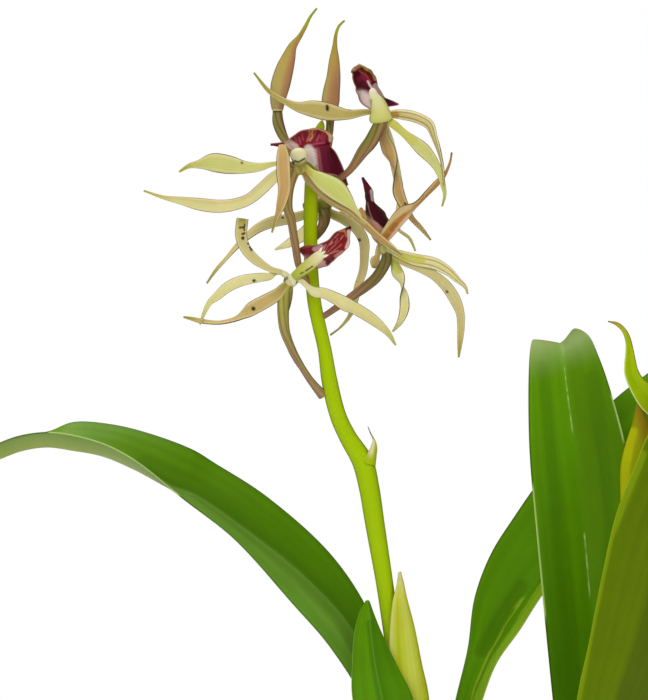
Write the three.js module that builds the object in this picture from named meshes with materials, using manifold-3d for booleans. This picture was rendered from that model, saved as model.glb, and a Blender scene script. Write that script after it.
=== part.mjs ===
import * as THREE from 'three';
import { mergeVertices } from 'three/addons/utils/BufferGeometryUtils.js';
import Module from 'manifold-3d';

// Potted cockleshell orchid. Millimetres, +Z up. The origin is the centre of the pot's underside.
// +X points to the right and +Y away from whoever looks at the flower spike.

// Driving dimensions
const clearance = 0.3;
const potHeight = 106;
const potBaseRadius = 44;
const potTopRadius = 59;
const potWall = 2;
const potFloor = 3;
const rimHeight = 14;
const rimOverhang = 3;
const drainHoles = 6;
const drainHoleRadius = 3.5;
const drainRingRadius = 27;
const barkLevel = 96;
const barkSeed = 7;
const chipCount = 29;
const chipLength = [16, 24];
const chipWidth = [10, 14];
const chipThickness = [4, 7];
const chipTaper = 0.7;
const chipTilt = [0.7, 0.6];
const chipLift = [0.5, 2.1];
const chipEdgeMargin = 3;
const bulbTop = 165;
const youngBulbTop = 150;
const bulbRibDepth = 0.05;
const rhizomeRadius = 3.8;
const rhizomeLevel = 92;
const rootRadius = 1.6;
const leafThickness = 1;
const tepalThickness = 0.8;
const lipThickness = 0.8;
const fullBulgeChord = 8;
const hubRadius = 2.4;
const tepalFoot = 0.8;
const tipHalfWidth = 0.35;
const roundSides = 32;
const mergeWithin = 1e-4;
const simplifyWithin = 0.05;

// Joining and cutting of closed bodies
const wasm = await Module();
wasm.setup();

const radians = THREE.MathUtils.degToRad;
const point = ([x, y, z]) => new THREE.Vector3(x, y, z);
const plus = (a, b) => point(a).add(point(b)).toArray();

// Closed body from its corner points and triangles, turned outward where its volume is negative
function body(corners, triangles) {
  let volume = 0;
  for (let i = 0; i < triangles.length; i += 3) {
    const [a, b, c] = [0, 1, 2].map((k) => corners[triangles[i + k]]);
    volume += a.dot(b.clone().cross(c));
  }
  const outward = volume > 0 ? triangles : triangles.slice().reverse();
  return new wasm.Manifold(new wasm.Mesh({
    numProp: 3,
    vertProperties: new Float32Array(corners.flatMap((corner) => corner.toArray())),
    triVerts: new Uint32Array(outward),
  }));
}

// Closed body from a geometry, with its doubled corners merged
function bodyOf(geometry) {
  geometry.deleteAttribute('normal');
  geometry.deleteAttribute('uv');
  const merged = mergeVertices(geometry, mergeWithin);
  const places = merged.getAttribute('position');
  const corners = Array.from({ length: places.count }, (_, i) =>
    new THREE.Vector3().fromBufferAttribute(places, i));
  const index = Array.from(merged.index.array);
  const triangles = [];
  for (let i = 0; i < index.length; i += 3) {
    const [a, b, c] = index.slice(i, i + 3);
    if (a !== b && b !== c && c !== a) triangles.push(a, b, c);
  }
  return body(corners, triangles);
}

// Body through a row of rings. In each ring the second half of the points runs back beneath the first,
// so a thin blade is split along the same diagonals on both faces and its ends close as a strip.
function loft(rings) {
  const count = rings[0].length;
  const half = count / 2;
  const triangles = [];
  for (let i = 0; i < rings.length - 1; i++) {
    for (let k = 0; k < count; k++) {
      const a = i * count + k;
      const b = i * count + (k + 1) % count;
      const [c, d] = [a + count, b + count];
      if (k < half) triangles.push(a, b, c, b, d, c);
      else triangles.push(a, b, d, a, d, c);
    }
  }
  const last = (rings.length - 1) * count;
  for (let k = 0; k < half - 1; k++) {
    const under = count - 1 - k;
    triangles.push(k, under, k + 1, k + 1, under, under - 1);
    triangles.push(last + k, last + k + 1, last + under, last + k + 1, last + under - 1, last + under);
  }
  return body(rings.flat(), triangles);
}

// Smooth course through stations of [x, y, z, first value, second value], drawn out at both ends by grow
function course(stations, grow) {
  const line = new THREE.CatmullRomCurve3(stations.map(point));
  const pairs = stations.map(([, , , first = 0, second = 0]) => new THREE.Vector3(first, second, 0));
  const values = new THREE.CatmullRomCurve3(pairs, false, 'catmullrom');
  return (u) => {
    const along = line.getTangent(u);
    const drawnOut = grow * ((u === 1) - (u === 0));
    const { x: first, y: second } = values.getPoint(u);
    return { centre: line.getPoint(u).addScaledVector(along, drawnOut), along, first, second };
  };
}

// Round rod through stations of [x, y, z, radius]. Its sides are counted round from the sideways direction.
function rod(stations, { sides = 8, steps = 12, sideways = [0, 1, 0], grow = 0 } = {}) {
  const at = course(stations, grow);
  const rings = [];
  for (let i = 0; i <= steps; i++) {
    const { centre, along, first: radius } = at(i / steps);
    const across = point(sideways).cross(along).normalize();
    const up = along.clone().cross(across);
    rings.push(Array.from({ length: sides }, (_, k) => {
      const angle = (k + 0.5) * 2 * Math.PI / sides;
      return centre.clone()
        .addScaledVector(across, Math.cos(angle) * (radius + grow))
        .addScaledVector(up, Math.sin(angle) * (radius + grow));
    }));
  }
  return loft(rings);
}

// Narrow blade through stations of [x, y, z, half width, roll]. Rolled by 0 degrees it turns its full
// width to the facing direction, by 90 its edge. Its margins bend back by the fold.
function ribbon(stations, { steps = 10, facing = [0, -1, 0], fold = 14, grow = 0 } = {}) {
  const at = course(stations, grow);
  const rings = [];
  for (let i = 0; i <= steps; i++) {
    const { centre, along, first, second: roll } = at(i / steps);
    const normal = point(facing).projectOnPlane(along).normalize().applyAxisAngle(along, radians(roll));
    const across = along.clone().cross(normal);
    const halfWidth = Math.max(first, tipHalfWidth) + grow;
    const section = [-1, 0, 1].map((side) => centre.clone()
      .addScaledVector(across, side * halfWidth * Math.cos(radians(fold)))
      .addScaledVector(normal, -Math.abs(side) * halfWidth * Math.sin(radians(fold))));
    rings.push(bothFaces(section, section.map(() => normal), tepalThickness / 2 + grow));
  }
  return loft(rings);
}

function bothFaces(section, normals, halfThickness) {
  const face = (side) => section.map((corner, k) =>
    corner.clone().addScaledVector(normals[k], side * halfThickness));
  return [...face(1), ...face(-1).reverse()];
}

// Broad blade held by three lines: its first margin, its midrib and its other margin. The bulge rounds
// each half outward between margin and midrib, less where the half is narrow.
function blade(threeLines, { steps = 18, thickness = leafThickness, bulge = 0, grow = 0 } = {}) {
  const lines = threeLines.map((line) => new THREE.CatmullRomCurve3(line.map(point)));
  const rings = [];
  for (let i = 0; i <= steps; i++) {
    const u = i / steps;
    const [a, m, b] = lines.map((line) => line.getPoint(u));
    const along = lines[1].getTangent(u);
    const [left, right] = [[a, m], [m, b]].map(([from, to]) => halfway(from, to, along, bulge));
    const section = [a, left, m, right, b];
    const normals = section.map((_, k) => {
      const chord = section[Math.min(k + 1, 4)].clone().sub(section[Math.max(k - 1, 0)]);
      return chord.cross(along).normalize();
    });
    rings.push(bothFaces(section, normals, thickness / 2 + grow));
  }
  return loft(rings);
}

function halfway(from, to, along, bulge) {
  const chord = to.clone().sub(from);
  const outward = chord.clone().cross(along).normalize();
  const share = Math.min(1, chord.length() / fullBulgeChord);
  return from.clone().lerp(to, 0.5).addScaledVector(outward, bulge * share);
}

// Cuts a body clear of its grown neighbours and keeps its main piece
function clearOf(solid, ...neighbours) {
  const pieces = neighbours.reduce((rest, neighbour) => rest.subtract(neighbour), solid).decompose();
  return pieces.reduce((main, piece) => (piece.volume() > main.volume() ? piece : main));
}

function ball(centre, radius) {
  const geometry = new THREE.SphereGeometry(radius, 8, 6);
  geometry.translate(...centre);
  return bodyOf(geometry);
}

// Pot: a plain tapered wall with a stepped rim and a ring of drain holes
const outerRadius = (z) => potBaseRadius + (potTopRadius - potBaseRadius) * z / potHeight;
const innerRadius = (z) => outerRadius(z) - potWall;

function turned(profile) {
  const geometry = new THREE.LatheGeometry(profile.map(([r, z]) => new THREE.Vector2(r, z)), roundSides);
  geometry.rotateX(Math.PI / 2);
  return bodyOf(geometry);
}

function pot() {
  const rimFoot = potHeight - rimHeight;
  const wall = turned([
    [0, 0], [potBaseRadius, 0], [outerRadius(rimFoot), rimFoot],
    [outerRadius(rimFoot) + rimOverhang, rimFoot + 1], [potTopRadius + rimOverhang, potHeight - 1],
    [potTopRadius + rimOverhang - 1, potHeight], [innerRadius(potHeight), potHeight],
    [innerRadius(potFloor), potFloor], [0, potFloor],
  ]);
  const holes = Array.from({ length: drainHoles }, (_, k) => {
    const angle = (k + 0.5) * 2 * Math.PI / drainHoles;
    const hole = new THREE.CylinderGeometry(drainHoleRadius, drainHoleRadius, 3 * potFloor, 8);
    hole.rotateX(Math.PI / 2);
    hole.translate(drainRingRadius * Math.cos(angle), drainRingRadius * Math.sin(angle), potFloor / 2);
    return bodyOf(hole);
  });
  return holes.reduce((rest, hole) => rest.subtract(hole), wall);
}

// Seeded random numbers from 0 to 1
function randomNumbers(seed) {
  let state = seed;
  return () => {
    state = (state * 1664525 + 1013904223) % 4294967296;
    return state / 4294967296;
  };
}

// Bark: a filling with angular chips sunk into its surface, spread by the golden angle
function barkMix(...planted) {
  const random = randomNumbers(barkSeed);
  const between = ([low, high]) => low + (high - low) * random();
  const reach = innerRadius(barkLevel) - clearance;
  const filling = turned([[0, potFloor + clearance],
    [innerRadius(potFloor) - clearance, potFloor + clearance], [reach, barkLevel], [0, barkLevel]]);
  const room = turned([[0, potFloor], [innerRadius(potFloor) - clearance, potFloor],
    [innerRadius(potHeight) - clearance, potHeight], [0, potHeight]]);
  const goldenAngle = Math.PI * (3 - Math.sqrt(5));
  const chips = Array.from({ length: chipCount }, (_, k) => {
    const distance = (reach - chipEdgeMargin) * Math.sqrt((k + 0.5) / chipCount);
    const chip = new THREE.BoxGeometry(between(chipLength), between(chipWidth), between(chipThickness));
    const places = chip.getAttribute('position');
    for (let i = 0; i < places.count; i++) {
      places.setY(i, places.getY(i) * (places.getX(i) > 0 ? chipTaper : 1));
    }
    chip.rotateX(chipTilt[0] * (random() - 0.5));
    chip.rotateY(chipTilt[1] * (random() - 0.5));
    chip.rotateZ(2 * Math.PI * random());
    const angle = k * goldenAngle;
    chip.translate(distance * Math.cos(angle), distance * Math.sin(angle), barkLevel + between(chipLift));
    return bodyOf(chip);
  });
  const heap = wasm.Manifold.union([filling, ...chips]).intersect(room);
  return clearOf(heap, ...planted);
}

// Rhizome that creeps from bulb to bulb, with thick roots that dive into the bark: each root starts at
// [x, y] and heads off at an angle, through [reach, z, share of the root radius]
const rhizomeLine = [
  [-10, 45], [-6, 36], [-14, 18], [-17, 4], [-2, -8], [14, -8], [24, -3], [34, 6], [41, 14], [47, 20],
];
const rootStarts = [[-8, 38, 280], [-15, 12, 190], [6, -8, 280], [22, -4, 250], [36, 9, 210]];
const rootDive = [[0, rhizomeLevel, 1], [7, 82, 1], [11, 62, 1], [8, 42, 1], [12, 26, 0.7]];

function rhizome(grow = 0) {
  const creeping = rod(rhizomeLine.map(([x, y]) => [x, y, rhizomeLevel, rhizomeRadius]),
    { steps: 18, sideways: [0, 0, 1], grow });
  const roots = rootStarts.map(([x, y, heading]) => rod(rootDive.map(([reach, z, share]) => [
    x + reach * Math.cos(radians(heading)), y + reach * Math.sin(radians(heading)), z, share * rootRadius,
  ]), { sides: 6, steps: 4, grow }));
  return wasm.Manifold.union([creeping, ...roots]);
}

// Pseudobulbs: flattened pear shapes with shallow ribs, from stations of [x, y, z, width, depth radius]
const bulbs = {
  pseudobulb_1: [[-16, 4, 95, 6, 6], [-18, 3.5, 106, 14, 10], [-20.5, 2.5, 120, 16.5, 11.5],
    [-23, 1, 138, 14, 11], [-24.5, 0, 153, 10.5, 10.5], [-25, 0, bulbTop, 9, 10.5]],
  pseudobulb_2: [[24, -3, 95, 6, 6], [26, -3, 106, 13.5, 10], [29, -2.5, 120, 16, 11.5],
    [32.5, -2, 138, 13.5, 10], [35, -1.5, 153, 9, 8.5], [36.5, -1.5, bulbTop, 7.5, 8]],
  pseudobulb_3: [[-5, 36, 95, 6, 6], [-6, 35, 106, 12.5, 9], [-7.5, 34, 120, 14.5, 10.5],
    [-9.5, 33, 138, 12, 9], [-11.5, 32, 153, 8, 7], [-12.5, 31.5, bulbTop, 6, 5.5]],
  pseudobulb_4: [[41, 15, 95, 5, 5], [42.5, 14.5, 104, 10.5, 7.5], [45, 14, 114, 12, 9],
    [49, 13, 128, 10, 8], [53, 12.5, 141, 8, 7], [56, 12.5, youngBulbTop, 7, 6]],
};

function pseudobulb(stations, grow = 0) {
  const centres = new THREE.CatmullRomCurve3(stations.map(point));
  const radii = new THREE.CatmullRomCurve3(stations.map(([, , , width, depth]) =>
    new THREE.Vector3(width, depth, 0)), false, 'catmullrom');
  const [steps, sides] = [8, 14];
  const rings = Array.from({ length: steps + 1 }, (_, i) => {
    const centre = centres.getPoint(i / steps);
    centre.z += grow * ((i === steps) - (i === 0));
    const { x: width, y: depth } = radii.getPoint(i / steps);
    return Array.from({ length: sides }, (_, k) => {
      const angle = (k + 0.5) * 2 * Math.PI / sides;
      const rib = 1 - bulbRibDepth * (k % 2) * Math.sin(Math.PI * i / steps);
      return centre.clone().add(new THREE.Vector3(
        Math.cos(angle) * (width * rib + grow), Math.sin(angle) * (depth * rib + grow), 0));
    });
  });
  return loft(rings);
}

// Leaves, each held by its left margin, midrib and right margin
const leafFoot = bulbTop + 2 * clearance;
const leaves = {
  // Long leaf that arches left: near margin, midrib, far margin
  leaf_1: [
    [[-28.8, -3.6, leafFoot], [-36, -3.5, 180], [-43.5, -1, 200], [-51.1, 2, 222], [-65.5, 5, 239.3],
      [-86.3, 6, 261.4], [-102.4, 6, 272.9], [-108.2, 5.5, 279.9], [-120, 5, 288.1], [-131.2, 5, 294.2],
      [-143.5, 5, 297.9], [-151.5, 4, 298.8], [-160.6, 4, 297.6], [-168, 4, 295], [-185, 5, 286.5],
      [-204.5, 7, 271], [-225.5, 11.2, 247.6]],
    [[-30.2, 1, leafFoot], [-32, 5, 182], [-37, 11, 205], [-44.2, 15, 227], [-60.2, 19, 245.7],
      [-83.7, 21, 264.5], [-100.4, 21, 275.7], [-108, 20.5, 278.5], [-121.1, 20, 285.6],
      [-132.4, 19, 290.4], [-143.6, 18, 292.5], [-152, 17, 293.6], [-160.6, 16, 292.5],
      [-168, 15, 289.8], [-186, 14, 281.5], [-206, 13, 267], [-226, 12, 247]],
    [[-28.6, 5, leafFoot], [-27, 10, 183], [-29.5, 19, 210], [-36.5, 24, 232.7], [-52.2, 28, 254.5],
      [-74.9, 30, 275.4], [-93.5, 31, 286.9], [-100.8, 29, 291.1], [-115.3, 30, 297.6],
      [-129.5, 30, 301.1], [-143.2, 29, 302], [-151.2, 28.5, 299], [-160.6, 27, 297], [-168, 26, 294.5],
      [-185, 23, 286], [-204.5, 19.5, 271], [-225.5, 12.8, 247.6]],
  ],
  // Short young leaf in front of the foot of the spike, its keel towards the front
  leaf_2: [
    [[-29, -6.8, leafFoot], [-35, -7.5, 180], [-41, -8, 193], [-44.6, -8, 206], [-44.7, -8, 218],
      [-43.9, -8.5, 229], [-42, -9, 236.5], [-39.9, -9.6, 239.8]],
    [[-25, -9, leafFoot], [-28, -11.5, 180], [-31.5, -13, 193], [-34.4, -13.5, 206], [-36.8, -13, 218],
      [-38.2, -12, 229], [-39, -10.5, 237], [-39.4, -10, 240.2]],
    [[-21, -6.8, leafFoot], [-21, -7.5, 180], [-22, -8, 193], [-23.7, -8, 206], [-29, -8.5, 217],
      [-33.8, -9, 227], [-37.5, -9.5, 236], [-38.9, -9.8, 239.8]],
  ],
  // Broad upright leaf that bends away at its crest
  leaf_3: [
    [[32, 0.5, leafFoot], [27.5, 1, 185], [25.9, 2, 205], [23.3, 4, 232], [20.2, 6, 262], [17.8, 8, 290],
      [17.2, 10, 310], [17.7, 13, 325], [18.5, 19, 330.3], [20, 33, 330], [21, 58, 319], [23, 84, 298],
      [29, 106, 272.5]],
    [[36, 4, leafFoot], [38, 7, 185], [40, 9, 205], [39.3, 11, 232], [36.9, 12, 262], [33.8, 13, 290],
      [31, 15, 312], [29.5, 20, 325.5], [29, 27, 329.5], [28.5, 38, 326.5], [28.5, 60, 315], [29, 86, 295],
      [29.8, 107, 271.5]],
    [[40, 0.5, leafFoot], [46, 2, 185], [51.5, 4, 205], [54, 6, 232], [54.5, 8, 262], [52, 10, 290],
      [45.8, 12, 313], [41, 16, 325.5], [36.5, 24, 334.3], [36.5, 37, 332], [36, 60, 320], [35, 85, 298],
      [30.6, 106, 272.5]],
  ],
  // Leaf at the back that leans right: upper margin, midrib, near lower margin
  leaf_4: [
    [[-16, 30, leafFoot], [-12, 34, 186], [-8, 37, 205], [-4, 38.5, 221.8], [-1.8, 39, 239.7],
      [3.3, 40, 255], [12, 40, 269], [22, 40, 282], [35, 40, 296], [47.3, 40, 309], [58.8, 40, 318.2],
      [72, 39, 327], [90, 37, 333], [113, 32, 331]],
    [[-12.5, 33, leafFoot], [-7.5, 33, 184], [-3.2, 33, 204], [3.2, 33, 220], [10.2, 33, 232.7],
      [21, 33, 245], [30, 33, 257], [39, 33, 270], [48, 32, 284], [57, 32, 296], [67, 31, 306],
      [79, 31, 316], [95, 31, 324.5], [113.5, 31, 330]],
    [[-9, 30, leafFoot], [-4, 27, 183], [0.4, 24, 205], [4.9, 22, 217.3], [13, 21, 229],
      [21.7, 20, 241.4], [33, 19, 254], [43, 18, 267], [51, 18, 282], [59.5, 17, 293], [69, 18, 302],
      [80, 20, 312], [95.5, 23, 321], [113, 30, 330]],
  ],
  // Large leaf in the right foreground that leans right, its keel towards the front
  leaf_5: [
    [[33, -4.5, leafFoot], [32.5, -8, 185], [33.5, -11, 205], [37.9, -13, 226.4], [42.2, -14, 248.6],
      [47, -15, 270], [53, -16, 286], [58.8, -17, 299.5], [68, -19, 314], [82, -22, 329], [98, -25, 337],
      [115, -30, 337], [131.5, -34.2, 333]],
    [[37, -7, leafFoot], [41, -14, 185], [46, -18, 205], [52, -20, 224], [57.5, -21, 244],
      [63.5, -22, 263], [71, -23, 279], [77, -24, 292], [87, -26, 305], [98, -28, 318], [110, -30, 327],
      [121, -32, 332], [132, -34.5, 332.4]],
    [[41, -4.5, leafFoot], [50, -10, 185], [58, -14, 205], [66, -17, 222], [73, -19, 240], [80, -21, 256],
      [88, -23, 271], [95, -25, 283], [104, -27, 296], [113, -29, 308], [121, -31, 318], [126, -33, 327],
      [131.8, -34.8, 331.8]],
  ],
};

// Young growth at the right: a folded sheath and the hooked leaf that unrolls from it
const youngFoot = youngBulbTop + 2 * clearance;
const youngSheath = [
  [[51.5, 10.5, youngFoot], [51, 5, 185], [50, -1, 220], [49.5, -3, 250], [49, -3.5, 277],
    [49, -3.5, 286], [50.4, -3.5, 293.2], [53, -3, 301], [54.9, -2.5, 308.4]],
  [[54, 9, youngFoot], [56.5, 1, 185], [57.5, -5, 220], [57.5, -7, 250], [57.5, -7, 277],
    [57.5, -7, 286], [58, -6.5, 293], [57, -5, 301], [55.6, -3, 308.8]],
  [[56.5, 10.5, youngFoot], [62, 5, 185], [65, 0, 220], [66, -2, 250], [66, -2, 277],
    [65, -2, 286], [62.5, -2, 293], [59.5, -2, 301], [56.2, -2.6, 308.5]],
];
const youngLeaf = [
  [[57, 13, youngFoot], [63, 9, 190], [67, 5, 230], [68, 2, 262], [66.5, -3, 285], [60.5, -6.5, 302.5],
    [55.8, -8, 307.6], [53.1, -8, 312.1], [50.9, -7, 320.2], [50.4, -6.2, 328.9], [47.6, -5, 336],
    [45.5, -4, 337.1]],
  [[59, 15, youngFoot], [67, 11, 190], [71, 7, 230], [72.5, 4, 262], [70.5, -1, 285], [64, -4.5, 305],
    [58.8, -6, 311], [55.5, -5.6, 316], [52.6, -5.6, 323], [51.4, -5.4, 330], [48.6, -4.6, 336.6],
    [45.4, -4, 337.4]],
  [[61, 13, youngFoot], [71, 9, 190], [75, 5, 230], [76.5, 2, 262], [74.5, -3, 285], [67, -6, 307.5],
    [61, -7, 314.2], [57.2, -7, 318.7], [54.2, -6.4, 325.5], [52.4, -5.8, 332.2], [49.4, -5, 337.2],
    [45.5, -4, 337.7]],
];

// Spathe: a pale sheath folded round the foot of the spike, its keel to the right
const spathe = [
  [[-24.8, -4.2, leafFoot], [-28, -4.6, 185], [-32.2, -4.8, 205], [-32.2, -4.6, 220], [-31.8, -4.2, 231],
    [-30.8, -3.8, 239], [-29.4, -2.6, 245], [-28.6, -1.5, 249.5]],
  [[-20.4, 0, leafFoot], [-18.6, 0, 185], [-18.4, 0, 205], [-21, 0, 218], [-23.5, 0, 230.5],
    [-26.1, -0.5, 241], [-27, -1.2, 246], [-28.1, -1.2, 250]],
  [[-24.8, 4.2, leafFoot], [-28, 4.6, 185], [-32.2, 4.8, 205], [-32.2, 4.6, 220], [-31.8, 4.2, 231],
    [-31, 3.6, 238], [-28.6, 1, 245], [-28, -0.6, 249.5]],
];

// Flower stem: [x, y, z, radius], kinked where the bract sits
const stemFoot = leafFoot + 0.4;
const stem = [
  [-24.6, 0, stemFoot, 2.6], [-26, 0, 185, 2.6], [-27.6, 0, 205, 2.7], [-29.8, 0, 224.6, 2.7],
  [-32.7, 0, 244.6, 2.8], [-36.4, 0, 266.6, 3.2], [-38.5, 0, 279.6, 3.5], [-41.1, 0, 288.3, 3.7],
  [-45.9, 0, 297.1, 3], [-49.4, 0, 304.5, 2.5], [-52.3, 0, 316.3, 2.5], [-54.4, 0, 327.9, 2.4],
  [-56.4, 0, 336.6, 2.4], [-57.9, 0, 343.9, 2.4], [-59, 0, 355.5, 2.4], [-59.2, 0, 366, 2.3],
  [-59, 0, 380, 2.3], [-58.5, 0, 394, 2.1], [-57.3, 0, 400, 1.8], [-56, 0, 404.5, 1],
];
const stemBract = [
  [[-41.7, -4.2, 288.1], [-40, -3.5, 293.5], [-39.6, -3.1, 297], [-39.4, -3, 300]],
  [[-38.2, -4, 287.2], [-38, -3.7, 293.5], [-38.8, -3.4, 297.4], [-39.1, -3.2, 300.6]],
  [[-36.4, -1, 286.5], [-35.8, -1, 293], [-37.6, -2.2, 297], [-38.8, -3, 300]],
];

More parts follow.
